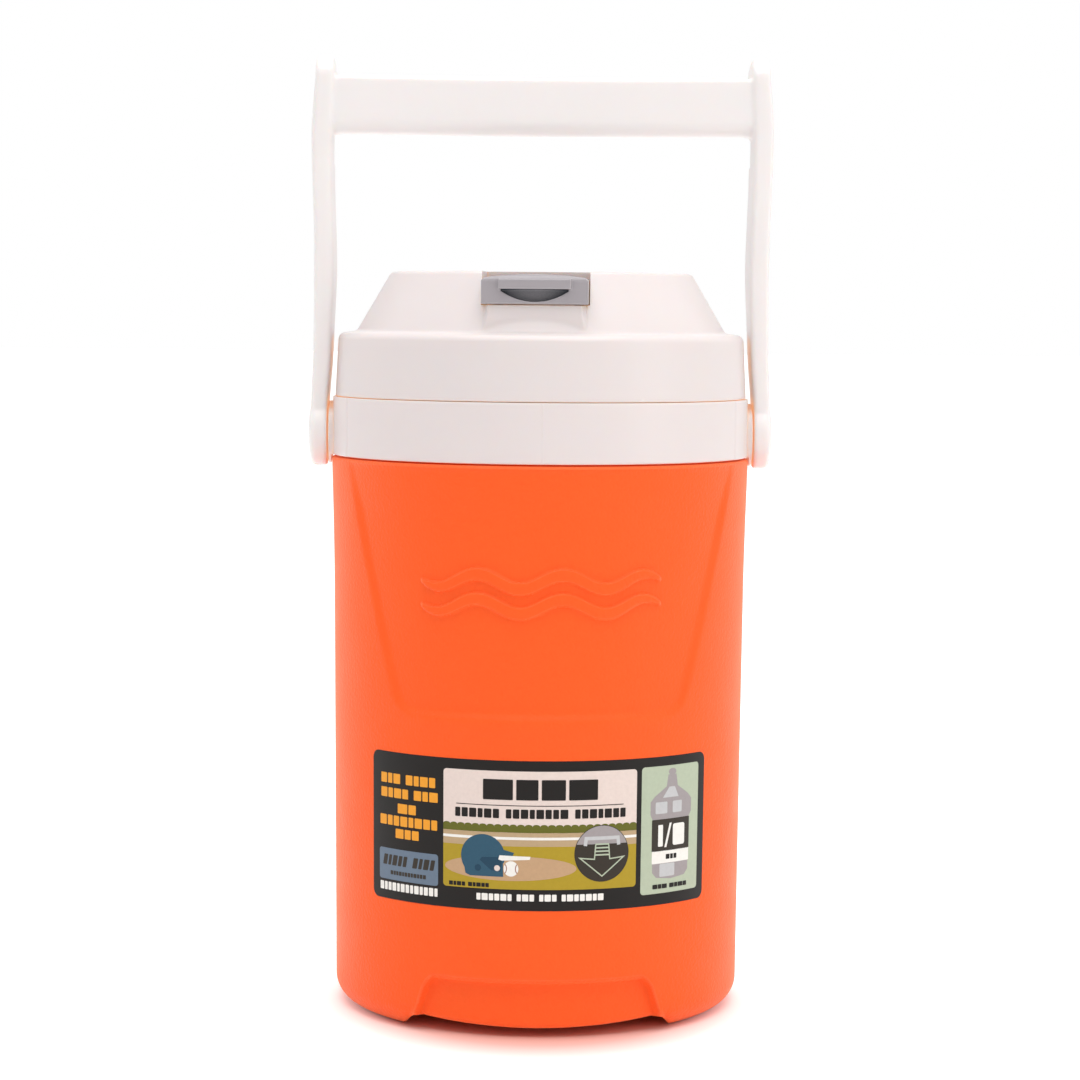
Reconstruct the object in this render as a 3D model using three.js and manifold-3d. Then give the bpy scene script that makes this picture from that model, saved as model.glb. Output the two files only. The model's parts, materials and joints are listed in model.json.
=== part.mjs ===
// Insulated half-gallon drinking jug: a foam-filled body with an inner liner, a screw lid that
// carries a flip-up spout cap, and a swinging carry handle with fence hooks.
// Millimetres, +Z up, front towards -Y, origin at the centre of the floor plane.

import * as THREE from "three";
import { mergeVertices } from "three/addons/utils/BufferGeometryUtils.js";
import Module from "manifold-3d";

const wasm = await Module();
wasm.setup();

// ---- driving dimensions ----

const SEGMENTS = 48; // facets round every large turned piece
const SMALL_SEGMENTS = 20; // facets round tubes, pins and bosses
const GAP = 0.3; // clearance between neighbouring pieces
const WALL = 2.2; // moulded wall of the shell and the lid
const LID_CLOCK = THREE.MathUtils.degToRad(-2.7); // how far the tightened lid stops from straight ahead

const EDGE = 0.6; // broken edge of a moulded rim

const BODY = {
  footRadius: 71.3, corner: 9, draftRadius: 72.8, flareZ: 149, flarePower: 1.5,
  shoulderRadius: 73.6, shoulderZ: 193, shoulderBevel: 0.8, neckRadius: 70.2, rimZ: 209,
};
const FOOT = { innerRadius: 54, slopeWidth: 4, baseZ: 4.6, plugHole: 9.3, plugHead: 13, plugBottomZ: 2.6 };
const NOTCH = {
  topZ: 20.6, topHalf: 32, lipZ: 3.1, lipBow: 1.8, lipHalf: 37, footHalf: 43, depth: 3.5, backing: 4,
};
const PANEL = {
  bottomZ: 107.8, wideZ: 178, topZ: 192.4, lowerHalf: 42.2, upperHalf: 60.8,
  depth: 1.3, fade: 20, corner: 5, cornerRise: 6,
};
const LABEL = { bottomZ: 44.1, topZ: 94.7, half: 51.7, pocket: 0.6, proud: 0.15 };
const LINER = {
  floorZ: 22, floorRadius: 51, floorBend: 6, topRadius: 56.2, wall: 2.2,
  flangeZ: 209.3, flangeRadius: 70, flangeThickness: 2, taperRise: 6,
  rimZ: 229.6, neckRadius: 59.5, neckBore: 57.2,
};
const COLLAR = {
  radius: 73.2, inner: 70.6, bottomZ: 193.4, bottomEdge: 0.5, topZ: 214.05, flangeZ: 211.6, flangeRadius: 62,
};
const PIVOT = {
  z: 201.3, bossRadius: 11, bossRoot: 71.2, bossFace: 74.6, holeRadius: 5.3,
  pinRadius: 5, pinEnd: 70.9, discRadius: 12, discFace: 74.9, discEdge: 80.2, discEnd: 81.7,
};
const THREAD = {
  lead: 12, starts: 2, firstZ: 218.5, crest: 61.5, lidCrest: 60.3,
  rootWidth: 2.7, crestWidth: 1.4, rootDepth: 0.6, neckTurns: 0.7, lidTurns: 0.5,
};
const BRIM = { bottomZ: 214.45, bottomRadius: 72.5, topZ: 236.2, topRadius: 71.3, bevel: 2.4 };
const CROWN = {
  baseZ: 237.1, baseRadius: 64.9, topZ: 257.7, topRadius: 53.1, bevelOut: 0.7, bevelIn: 1.1, bevelDrop: 1.3,
  centreZ: 258,
};
const PAN = {
  z: 232.2, thickness: 1.8, skirtInner: 62.2, skirtOuter: 64.4, bottomZ: 214.5, flangeRadius: 69.6,
};
const LID_FOAM_RADIUS = 60.9;
const GASKET_RADIUS = 60.5;
const TRAY = {
  floorZ: 246.2, half: 18.5, rearY: -18.6,
  neckHalf: 16.3, neckFootHalf: 17.6, neckFrontY: -62.2, neckRootZ: 232.4, neckRearY: -26.6,
};
const SPOUT = {
  y: -44, outer: 9.5, bore: 7.5, rimZ: 250.6, flange: 12.5, flangeThickness: 1.2, segments: 24,
};
const CAP = {
  half: 18, frontY: -63.6, rearY: -22, bottomZ: 246.5, edgeZ: 255.5, topZ: 256.7, wall: 1.8, skin: 2,
};
const TAB = { half: 12.4, bottomZ: 251.7, reach: 1.6 };
const SCOOP = { half: 11.3, bottomZ: 247.4, radius: 30, depth: 0.8, rise: 0.4 };
const HINGE = {
  y: -25.2, z: 252.8, pinRadius: 1.5, pinHole: 1.75, knuckle: 3.1, knuckleHalf: 11.6,
  earInner: 12.2, earOuter: 15.9, earRadius: 2.7, earSet: 0.4,
};
const SEAL = { stemRadius: 6.4, seatRadius: 6.8, discRadius: 10.5 };
const BAR = {
  frontY: -11.5, rearY: 2.5, bottomZ: 305.7, topZ: 325.4, length: 152,
  frontLowerBend: 5.5, frontUpperBend: 1.5, rearBend: 2,
  pockets: 5, pocketSpan: 134, rib: 2.6, skin: 3, frontSkin: 4,
};
const HOOK = { innerX: 71.4, slotFrontY: 3.4, slotRearY: 8.6, mouthZ: 296, mouthTopZ: 305, slotTopZ: 322.5 };
const BEYOND = 90; // cutting tools reach this far, past the widest piece

// ---- solids from three.js geometry ----

function toSolid(geometry) {
  const bare = geometry.clone();
  bare.deleteAttribute("normal");
  bare.deleteAttribute("uv");
  const merged = mergeVertices(bare, 1e-4);
  const index = merged.index.array;
  const kept = [];
  for (let i = 0; i < index.length; i += 3) {
    const [a, b, c] = [index[i], index[i + 1], index[i + 2]];
    if (a !== b && b !== c && c !== a) kept.push(a, b, c);
  }
  const vertProperties = new Float32Array(merged.attributes.position.array);
  const mesh = new wasm.Mesh({ numProp: 3, vertProperties, triVerts: new Uint32Array(kept) });
  return new wasm.Manifold(mesh);
}

function toGeometry(solid) {
  const mesh = solid.getMesh();
  const geometry = new THREE.BufferGeometry();
  geometry.setAttribute("position", new THREE.BufferAttribute(mesh.vertProperties, 3));
  geometry.setIndex(new THREE.BufferAttribute(mesh.triVerts, 1));
  return geometry;
}

const join = (...solids) => solids.reduce((whole, part) => whole.add(part));
const cut = (whole, ...tools) => tools.reduce((rest, tool) => rest.subtract(tool), whole);

// ---- basic shapes ----

// A quarter or half round of a profile, as [radius, height] points, angles in degrees.
function arc(radius, height, bend, from, to, steps = 3) {
  return Array.from({ length: steps + 1 }, (_, i) => {
    const angle = THREE.MathUtils.degToRad(from + ((to - from) * i) / steps);
    return [radius + bend * Math.cos(angle), height + bend * Math.sin(angle)];
  });
}

// Turns an anticlockwise [radius, height] profile about +Z.
function lathe(profile, segments = SEGMENTS) {
  const points = profile.map(([radius, height]) => new THREE.Vector2(radius, height));
  if (profile[0][0] > 0) points.push(points[0].clone());
  return new THREE.LatheGeometry(points, segments).rotateX(Math.PI / 2);
}

const turned = (profile, segments) => toSolid(lathe(profile, segments));

function rod(radius, from, to, segments = SMALL_SEGMENTS) {
  return lathe([[0, from], [radius, from], [radius, to], [0, to]], segments);
}

const uprightRod = (radius, from, to, x, y) => toSolid(rod(radius, from, to).translate(x, y, 0));

function crossRod(radius, from, to, y, z) {
  return toSolid(rod(radius, from, to).rotateY(Math.PI / 2).translate(0, y, z));
}

function box(x0, x1, y0, y1, z0, z1) {
  const geometry = new THREE.BoxGeometry(x1 - x0, y1 - y0, z1 - z0);
  return toSolid(geometry.translate((x0 + x1) / 2, (y0 + y1) / 2, (z0 + z1) / 2));
}

// Collects numbered points and quads into one closed geometry.
function patchwork(points, quads) {
  const geometry = new THREE.BufferGeometry();
  geometry.setAttribute("position", new THREE.BufferAttribute(new Float32Array(points.flat()), 3));
  geometry.setIndex(quads.flatMap(([a, b, c, d]) => [a, b, c, a, c, d]));
  return geometry;
}

// The point at an angle round the jug, measured from the front towards +X.
const around = (radius, angle, z) => [radius * Math.sin(angle), -radius * Math.cos(angle), z];

// A curved slab that follows the body's round wall, between two radii that may change with height.
function curvedSlab({ heights, halfAngle, inner, outer, columns, centre = 0, bow = () => 0 }) {
  const points = [];
  const rows = heights.length;
  const at = (layer, row, column) => (layer * rows + row) * (columns + 1) + column;
  for (const radius of [inner, outer]) {
    for (const z of heights) {
      for (let column = 0; column <= columns; column++) {
        const across = (2 * column) / columns - 1;
        const spread = THREE.MathUtils.degToRad(halfAngle(z)) * across;
        points.push(around(radius(z), centre + spread, z + bow(z, across)));
      }
    }
  }
  const quads = [];
  const top = rows - 1;
  for (let column = 0; column < columns; column++) {
    const next = column + 1;
    for (let row = 0; row < top; row++) {
      quads.push([at(1, row, column), at(1, row, next), at(1, row + 1, next), at(1, row + 1, column)]);
      quads.push([at(0, row, next), at(0, row, column), at(0, row + 1, column), at(0, row + 1, next)]);
    }
    quads.push([at(0, 0, column), at(0, 0, next), at(1, 0, next), at(1, 0, column)]);
    quads.push([at(1, top, column), at(1, top, next), at(0, top, next), at(0, top, column)]);
  }
  for (let row = 0; row < top; row++) {
    quads.push([at(0, row, 0), at(1, row, 0), at(1, row + 1, 0), at(0, row + 1, 0)]);
    quads.push([at(1, row, columns), at(0, row, columns), at(0, row + 1, columns), at(1, row + 1, columns)]);
  }
  return patchwork(points, quads);
}

// Skins a stack of rings, each an anticlockwise list of points seen from above.
function loft(rings) {
  const size = rings[0].length;
  const quads = [];
  for (let row = 0; row < rings.length - 1; row++) {
    for (let k = 0; k < size; k++) {
      const next = (k + 1) % size;
      quads.push([row * size + k, row * size + next, (row + 1) * size + next, (row + 1) * size + k]);
    }
  }
  const last = (rings.length - 1) * size;
  for (let k = 1; k < size - 1; k += 2) {
    quads.push([0, k + 2 < size ? k + 2 : 0, k + 1, k].map((corner) => corner % size));
    quads.push([last, last + k, last + k + 1, last + ((k + 2) % size)]);
  }
  return patchwork(rings.flat(), quads);
}

// One start of a screw thread: a rib of four-sided section that climbs with the lead.
function threadRib({ inner, outer, firstZ, turns, steps }, from) {
  const points = [];
  for (let step = 0; step <= steps; step++) {
    const turn = (turns * step) / steps;
    const angle = from + turn * 2 * Math.PI;
    const z = firstZ + THREAD.lead * turn;
    points.push(
      around(inner.radius, angle, z - inner.width / 2),
      around(outer.radius, angle, z - outer.width / 2),
      around(outer.radius, angle, z + outer.width / 2),
      around(inner.radius, angle, z + inner.width / 2),
    );
  }
  const quads = [[0, 1, 2, 3]];
  for (let step = 0; step < steps; step++) {
    for (let k = 0; k < 4; k++) {
      const next = (k + 1) % 4;
      quads.push([step * 4 + k, step * 4 + 4 + k, step * 4 + 4 + next, step * 4 + next]);
    }
  }
  const end = steps * 4;
  quads.push([end + 3, end + 2, end + 1, end]);
  return toSolid(patchwork(points, quads));
}

function threads(shape) {
  return Array.from({ length: THREAD.starts }, (_, start) =>
    threadRib(shape, (start * 2 * Math.PI) / THREAD.starts));
}

// ---- body ----

// Outer radius of the drafted body wall at a height. The wall flares a little more below the shoulder.
function bodyRadius(z) {
  const { footRadius, draftRadius, shoulderRadius, corner, flareZ, flarePower, shoulderZ } = BODY;
  const rise = (z - corner) / (shoulderZ - corner);
  const flare = Math.max(0, (z - flareZ) / (shoulderZ - flareZ)) ** flarePower;
  return footRadius + (draftRadius - footRadius) * rise + (shoulderRadius - draftRadius) * flare;
}

const FLARE_ROWS = [BODY.flareZ, BODY.flareZ + 15, BODY.flareZ + 30];

// The raised foot arch at the front or back: a dished face with slanted sides over a lifted lip, which bows
// up towards both feet.
function notchTools(centre) {
  const { topZ, topHalf, lipZ, lipBow, lipHalf, footHalf } = NOTCH;
  const face = curvedSlab({
    heights: [lipZ - 1, topZ],
    halfAngle: (z) => topHalf + ((lipHalf - topHalf) * (topZ - z)) / (topZ - lipZ),
    inner: (z) => bodyRadius(z) - NOTCH.depth,
    outer: (z) => bodyRadius(z) + 3,
    columns: 8,
    centre,
  });
  const lift = curvedSlab({
    heights: [-1, lipZ],
    halfAngle: (z) => lipHalf + ((footHalf - lipHalf) * (lipZ - z)) / lipZ,
    inner: () => FOOT.innerRadius - 6,
    outer: () => BODY.shoulderRadius + 3,
    columns: 12,
    centre,
    bow: (z, across) => (z === lipZ ? lipBow * Math.abs(across) ** 1.4 : 0),
  });
  return [toSolid(face), toSolid(lift)];
}

// The wall steps in behind each arch, so that the dished face keeps its thickness.
function notchBacking(centre) {
  const inner = BODY.footRadius - NOTCH.depth - WALL;
  return toSolid(curvedSlab({
    heights: [FOOT.baseZ + 1, NOTCH.topZ + NOTCH.backing],
    halfAngle: () => NOTCH.lipHalf + NOTCH.backing,
    inner: () => inner,
    outer: (z) => Math.min(bodyRadius(z), BODY.footRadius) - 1,
    columns: 8,
    centre,
  }));
}

// The broad panel above the label, which widens upwards and fades out under the collar.
function panelTool(centre) {
  const { bottomZ, wideZ, topZ, cornerRise } = PANEL;
  const halfAngle = (z) => {
    const climb = (z - bottomZ) / (wideZ - bottomZ);
    const corner = Math.max(0, 1 - (z - bottomZ) / cornerRise) * PANEL.corner;
    return PANEL.lowerHalf - corner + (PANEL.upperHalf - PANEL.lowerHalf) * climb;
  };
  const depth = (z) => PANEL.depth * Math.min(1, (topZ + 4 - z) / PANEL.fade);
  return toSolid(curvedSlab({
    heights: [bottomZ, bottomZ + 2, bottomZ + cornerRise, 135, 157, wideZ, topZ],
    halfAngle,
    inner: (z) => bodyRadius(z) - depth(z),
    outer: (z) => bodyRadius(z) + 3,
    columns: 14,
    centre,
  }));
}

function labelSlab(innerOffset, outerOffset, margin) {
  return curvedSlab({
    heights: [LABEL.bottomZ - margin, LABEL.topZ + margin],
    halfAngle: () => LABEL.half + margin / 1.25,
    inner: (z) => bodyRadius(z) + innerOffset,
    outer: (z) => bodyRadius(z) + outerOffset,
    columns: 20,
  });
}

const label = () => toSolid(labelSlab(GAP - LABEL.pocket, LABEL.proud, 0));

function outerShell() {
  const floorZ = FOOT.baseZ + WALL;
  const cornerRadius = BODY.footRadius - BODY.corner;
  const shell = turned([
    [FOOT.plugHole, FOOT.baseZ],
    [FOOT.innerRadius - FOOT.slopeWidth, FOOT.baseZ],
    [FOOT.innerRadius, 0],
    ...arc(cornerRadius, BODY.corner, BODY.corner, -90, 0, 4),
    ...FLARE_ROWS.map((z) => [bodyRadius(z), z]),
    [BODY.shoulderRadius, BODY.shoulderZ - BODY.shoulderBevel],
    [BODY.shoulderRadius - BODY.shoulderBevel, BODY.shoulderZ],
    [BODY.neckRadius, BODY.shoulderZ],
    [BODY.neckRadius, BODY.rimZ],
    [BODY.neckRadius - WALL, BODY.rimZ],
    [BODY.neckRadius - WALL, BODY.shoulderZ - 1.5],
    [BODY.shoulderRadius - WALL, BODY.shoulderZ - 5],
    [bodyRadius(BODY.flareZ) - WALL, BODY.flareZ],
    [BODY.footRadius - WALL, floorZ + 6],
    [BODY.footRadius - WALL - 6, floorZ],
    [FOOT.plugHole, floorZ],
  ]);
  const backed = join(shell, notchBacking(0), notchBacking(Math.PI));
  const pocket = toSolid(labelSlab(-LABEL.pocket, 3, GAP));
  return cut(backed, ...notchTools(0), ...notchTools(Math.PI), panelTool(0), panelTool(Math.PI), pocket);
}

function basePlug() {
  const stem = FOOT.plugHole - GAP;
  const headTop = FOOT.baseZ - GAP;
  return turned([
    [0, FOOT.plugBottomZ],
    [FOOT.plugHead - EDGE, FOOT.plugBottomZ],
    [FOOT.plugHead, FOOT.plugBottomZ + EDGE],
    [FOOT.plugHead, headTop],
    [stem, headTop],
    [stem, FOOT.baseZ + WALL],
    [0, FOOT.baseZ + WALL],
  ], SMALL_SEGMENTS);
}

// The floor's rounded corner on the outside of the liner, kept a gap away from it.
function linerFloorBend(gap, from, to) {
  const bend = LINER.floorBend + 1;
  return arc(LINER.floorRadius + LINER.wall - bend, LINER.floorZ - LINER.wall + bend, bend + gap, from, to);
}

function foamInsulation() {
  const floorZ = FOOT.baseZ + WALL + GAP;
  const stepRadius = BODY.footRadius - NOTCH.depth - WALL - GAP;
  const neckRadius = BODY.neckRadius - WALL - GAP;
  const linerRadius = LINER.topRadius + LINER.wall + GAP;
  return turned([
    [0, floorZ],
    [stepRadius - 5, floorZ],
    [stepRadius, floorZ + 5],
    [stepRadius, NOTCH.topZ + NOTCH.backing + 0.5],
    [bodyRadius(30) - WALL - GAP, 30],
    [bodyRadius(BODY.flareZ) - WALL - GAP, BODY.flareZ],
    [BODY.shoulderRadius - WALL - GAP, BODY.shoulderZ - 5.2],
    [neckRadius, BODY.shoulderZ - 1.7],
    [neckRadius, LINER.flangeZ - GAP],
    [linerRadius + 0.9, LINER.flangeZ - GAP],
    [linerRadius, LINER.flangeZ - LINER.taperRise],
    ...linerFloorBend(GAP, 0, -90),
    [0, LINER.floorZ - LINER.wall - GAP],
  ]);
}

function innerLiner() {
  const { floorZ, floorRadius, floorBend, topRadius, wall, flangeZ, taperRise } = LINER;
  const { neckRadius, neckBore, rimZ } = LINER;
  const flangeTop = flangeZ + LINER.flangeThickness;
  const cup = turned([
    [0, floorZ - wall],
    ...linerFloorBend(0, -90, 0),
    [topRadius + wall, flangeZ - taperRise],
    [neckRadius - GAP, flangeZ],
    [LINER.flangeRadius, flangeZ],
    [LINER.flangeRadius, flangeTop],
    [neckRadius, flangeTop],
    [neckRadius, rimZ],
    [neckBore, rimZ],
    [neckBore, flangeZ - 1],
    [topRadius, flangeZ - taperRise],
    ...arc(floorRadius - floorBend, floorZ + floorBend, floorBend, 0, -90),
    [0, floorZ],
  ]);
  const ribs = threads({
    inner: { radius: neckRadius - THREAD.rootDepth, width: THREAD.rootWidth },
    outer: { radius: THREAD.crest, width: THREAD.crestWidth },
    firstZ: THREAD.firstZ,
    turns: THREAD.neckTurns,
    steps: 20,
  });
  return join(cup, ...ribs);
}

// ---- collar ----

function collar() {
  const ring = turned([
    [COLLAR.inner, COLLAR.bottomZ],
    [COLLAR.radius - COLLAR.bottomEdge, COLLAR.bottomZ],
    [COLLAR.radius, COLLAR.bottomZ + COLLAR.bottomEdge],
    [COLLAR.radius, COLLAR.topZ - EDGE],
    [COLLAR.radius - EDGE, COLLAR.topZ],
    [COLLAR.flangeRadius, COLLAR.topZ - GAP],
    [COLLAR.flangeRadius, COLLAR.flangeZ],
    [COLLAR.inner, COLLAR.flangeZ],
  ]);
  const boss = crossRod(PIVOT.bossRadius, PIVOT.bossRoot, PIVOT.bossFace, 0, PIVOT.z);
  const otherBoss = crossRod(PIVOT.bossRadius, -PIVOT.bossFace, -PIVOT.bossRoot, 0, PIVOT.z);
  const bodyClear = BODY.shoulderRadius + GAP;
  const spaceInside = turned([
    [0, PIVOT.z - 20],
    [bodyClear, PIVOT.z - 20],
    [bodyClear, COLLAR.bottomZ],
    [COLLAR.inner, COLLAR.bottomZ],
    [COLLAR.inner, COLLAR.flangeZ],
    [0, COLLAR.flangeZ],
  ]);
  const holes = crossRod(PIVOT.holeRadius, -BEYOND, BEYOND, 0, PIVOT.z);
  return cut(join(ring, boss, otherBoss), spaceInside, holes);
}

// ---- handle ----

// Rings up one arm: height, inner face, outer face, front edge and rear edge.
const ARM_STATIONS = [
  [196, 74.9, 81, -9.4, 9.4],
  [206, 74.9, 81, -9.2, 9.2],
  [215, 74.5, 80.8, -8.6, 8.6],
  [225, 73.7, 80.2, -9.2, 9.2],
  [240, 73, 79.8, -10.8, 10.8],
  [258, 72.3, 79.7, -12.1, 12.1],
  [275, 72.7, 79.9, -12.6, 12.6],
  [288, 73.1, 80.4, -12.2, 12.2],
  [298, 73.2, 80.7, -11.7, 12],
  [307, 73.1, 80.8, -12.3, 12.8],
  [316, 72.9, 80.2, -12.9, 13.2],
  [324, 72.6, 79.4, -13, 13.2],
  [329, 72.3, 79.2, -12.2, 12.6],
  [332, 72, 79, -10.4, 10.8],
  [333.3, 72.3, 78.7, -7.6, 8],
];

function armRing([z, inner, outer, front, rear]) {
  const edge = 1.3;
  return [
    [inner + edge, front, z],
    [outer - edge, front, z],
    [outer, front + edge, z],
    [outer, rear - edge, z],
    [outer - edge, rear, z],
    [inner + edge, rear, z],
    [inner, rear - edge, z],
    [inner, front + edge, z],
  ];
}

function mirrored(geometry) {
  const flipped = geometry.clone().scale(-1, 1, 1);
  const index = flipped.index.array;
  for (let i = 0; i < index.length; i += 3) [index[i], index[i + 1]] = [index[i + 1], index[i]];
  return flipped;
}

// The domed disc at the foot of an arm, with the stub pin on its inner face.
function handlePivotGeometry() {
  const { pinRadius, pinEnd, discRadius, discFace, discEdge, discEnd } = PIVOT;
  const profile = [
    [0, pinEnd],
    [pinRadius - EDGE, pinEnd],
    [pinRadius, pinEnd + EDGE],
    [pinRadius, discFace],
    [discRadius, discFace],
    [discRadius, discEdge],
    [discRadius - 1.2, discEnd - 0.5],
    [discRadius / 2, discEnd],
    [0, discEnd],
  ];
  return lathe(profile, SMALL_SEGMENTS).rotateY(Math.PI / 2).translate(0, 0, PIVOT.z);
}

function gripBar() {
  const { frontY, rearY, bottomZ, topZ, length, rearBend } = BAR;
  const lower = BAR.frontLowerBend;
  const upper = BAR.frontUpperBend;
  const quarter = Math.PI / 2;
  const outline = new THREE.Shape();
  outline.moveTo(frontY + lower, bottomZ);
  outline.lineTo(rearY - rearBend, bottomZ);
  outline.absarc(rearY - rearBend, bottomZ + rearBend, rearBend, -quarter, 0, false);
  outline.absarc(rearY - rearBend, topZ - rearBend, rearBend, 0, quarter, false);
  outline.absarc(frontY + upper, topZ - upper, upper, quarter, 2 * quarter, false);
  outline.absarc(frontY + lower, bottomZ + lower, lower, 2 * quarter, 3 * quarter, false);
  const options = { depth: length, bevelEnabled: false, curveSegments: 5 };
  const geometry = new THREE.ExtrudeGeometry(outline, options);
  const standUp = new THREE.Matrix4().makeBasis(
    new THREE.Vector3(0, 1, 0),
    new THREE.Vector3(0, 0, 1),
    new THREE.Vector3(1, 0, 0),
  );
  return toSolid(geometry.applyMatrix4(standUp).translate(-length / 2, 0, 0));
}

// Moulding pockets in the back of the grip, with ribs left between them.
function gripPockets() {
  const { pocketSpan, pockets, rib, skin, frontSkin, frontY, rearY, bottomZ, topZ } = BAR;
  const pitch = pocketSpan / pockets;
  return Array.from({ length: pockets }, (_, i) => {
    const left = -pocketSpan / 2 + i * pitch + rib / 2;
    return box(left, left + pitch - rib, frontY + frontSkin, rearY + 5, bottomZ + skin, topZ - skin);
  });
}

// The slot behind the top of an arm that leaves a downward hook for a fence wire.
function hookSlots() {
  const { innerX, slotFrontY, slotRearY, mouthZ, mouthTopZ, slotTopZ } = HOOK;
  const bend = (slotRearY - slotFrontY) / 2;
  return [-1, 1].flatMap((side) => {
    const [x0, x1] = side < 0 ? [-BEYOND, -innerX] : [innerX, BEYOND];
    return [
      box(x0, x1, slotFrontY, slotRearY, mouthZ, slotTopZ - bend),
      box(x0, x1, slotFrontY, slotRearY + 15, mouthZ, mouthTopZ),
      crossRod(bend, x0, x1, (slotFrontY + slotRearY) / 2, slotTopZ - bend),
    ];
  });
}

function handle() {
  const arm = loft(ARM_STATIONS.map(armRing));
  const pivot = handlePivotGeometry();
  const arms = [arm, mirrored(arm), pivot, mirrored(pivot)].map(toSolid);
  return cut(join(gripBar(), ...arms), ...gripPockets(), ...hookSlots());
}

// ---- lid, built straight ahead and clocked as a group ----

function lidEnvelope(inset) {
  const lean = (BRIM.bottomRadius - BRIM.topRadius) / (BRIM.topZ - BRIM.bottomZ);
  const bottomZ = inset > 0 ? BRIM.bottomZ - 1 : BRIM.bottomZ;
  return turned([
    [0, bottomZ],
    [BRIM.bottomRadius - inset, bottomZ],
    [BRIM.topRadius - inset + BRIM.bevel * lean, BRIM.topZ - BRIM.bevel - inset],
    [BRIM.topRadius - inset - BRIM.bevel, BRIM.topZ - inset],
    [CROWN.baseRadius - inset, CROWN.baseZ - inset],
    [CROWN.topRadius - inset + CROWN.bevelOut, CROWN.topZ - inset - CROWN.bevelDrop],
    [CROWN.topRadius - inset - CROWN.bevelIn, CROWN.topZ - inset],
    [0, CROWN.centreZ - inset],
  ]);
}

// The spout neck that stands forward of the crown, a little wider at its foot.
function neckBlock(inset, topZ) {
  const { neckRootZ, neckFootHalf, neckHalf, neckFrontY, neckRearY } = TRAY;
  const rows = [[neckRootZ, neckFootHalf], [topZ, neckHalf]];
  return toSolid(loft(rows.map(([z, half]) => [
    [-half + inset, neckFrontY + inset, z],
    [half - inset, neckFrontY + inset, z],
    [half - inset, neckRearY, z],
    [-half + inset, neckRearY, z],
  ])));
}

// The slot the cap lies in, or the slot with its walls and floor when a margin is given.
function traySlot(margin) {
  const reach = TRAY.half + margin;
  return box(-reach, reach, -BEYOND, TRAY.rearY + margin, TRAY.floorZ - margin, CROWN.centreZ + BEYOND);
}

// One of the two ears that hold the cap's pin. Its foot stays clear of the cap's heel as it swings down.
function hingeEar(x0, x1) {
  const { y, z, earRadius, earSet } = HINGE;
  return join(box(x0, x1, y - earRadius, y - earSet, TRAY.floorZ - 1, z), crossRod(earRadius, x0, x1, y, z));
}

function spoutHole(from, to) {
  return uprightRod(SPOUT.outer + GAP, from, to, 0, SPOUT.y);
}

function lidOuter() {
  const { y, z, earInner, earOuter } = HINGE;
  const outside = cut(join(lidEnvelope(0), neckBlock(0, TRAY.floorZ + 2)), traySlot(0));
  const inside = cut(join(lidEnvelope(WALL), neckBlock(WALL, TRAY.floorZ)), traySlot(WALL));
  const ears = [hingeEar(-earOuter, -earInner), hingeEar(earInner, earOuter)];
  const pinHole = crossRod(HINGE.pinHole, -earOuter - 1, earOuter + 1, y, z);
  return cut(join(cut(outside, inside), ...ears), pinHole, spoutHole(TRAY.floorZ - 6, TRAY.floorZ + 4));
}

function lidInner() {
  const flangeTop = PAN.bottomZ + PAN.thickness;
  const topZ = PAN.z + PAN.thickness;
  const pan = turned([
    [0, PAN.z],
    [PAN.skirtInner, PAN.z],
    [PAN.skirtInner, PAN.bottomZ],
    [PAN.flangeRadius, PAN.bottomZ],
    [PAN.flangeRadius, flangeTop],
    [PAN.skirtOuter, flangeTop],
    [PAN.skirtOuter, topZ - EDGE],
    [PAN.skirtOuter - EDGE, topZ],
    [0, topZ],
  ]);
  const ribs = threads({
    inner: { radius: THREAD.lidCrest, width: THREAD.crestWidth },
    outer: { radius: PAN.skirtInner + THREAD.rootDepth, width: THREAD.rootWidth },
    firstZ: THREAD.firstZ + THREAD.lead / THREAD.starts / 2,
    turns: THREAD.lidTurns,
    steps: 14,
  });
  return cut(join(pan, ...ribs), spoutHole(PAN.z - 3, PAN.z + 5));
}

function lidFoam() {
  const bottomZ = PAN.z + PAN.thickness + GAP;
  const block = turned([[0, bottomZ], [LID_FOAM_RADIUS, bottomZ], [LID_FOAM_RADIUS, 270], [0, 270]]);
  const space = lidEnvelope(WALL + GAP).intersect(block);
  return cut(space, traySlot(WALL + GAP), spoutHole(PAN.z, TRAY.floorZ));
}

function lidGasket() {
  const [z0, z1] = [LINER.rimZ + GAP, PAN.z - GAP];
  return turned([[LINER.neckBore, z0], [GASKET_RADIUS, z0], [GASKET_RADIUS, z1], [LINER.neckBore, z1]]);
}

function drinkingSpout() {
  const { outer, bore, rimZ, flange } = SPOUT;
  const seatZ = TRAY.floorZ + GAP;
  const flangeTop = seatZ + SPOUT.flangeThickness;
  const tube = lathe([
    [bore, PAN.z],
    [outer, PAN.z],
    [outer, seatZ],
    [flange, seatZ],
    [flange, flangeTop],
    [outer, flangeTop + 0.4],
    [outer, rimZ - EDGE],
    [outer - EDGE, rimZ],
    [bore, rimZ],
  ], SPOUT.segments);
  return toSolid(tube.translate(0, SPOUT.y, 0));
}

// ---- spout cap ----

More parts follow.
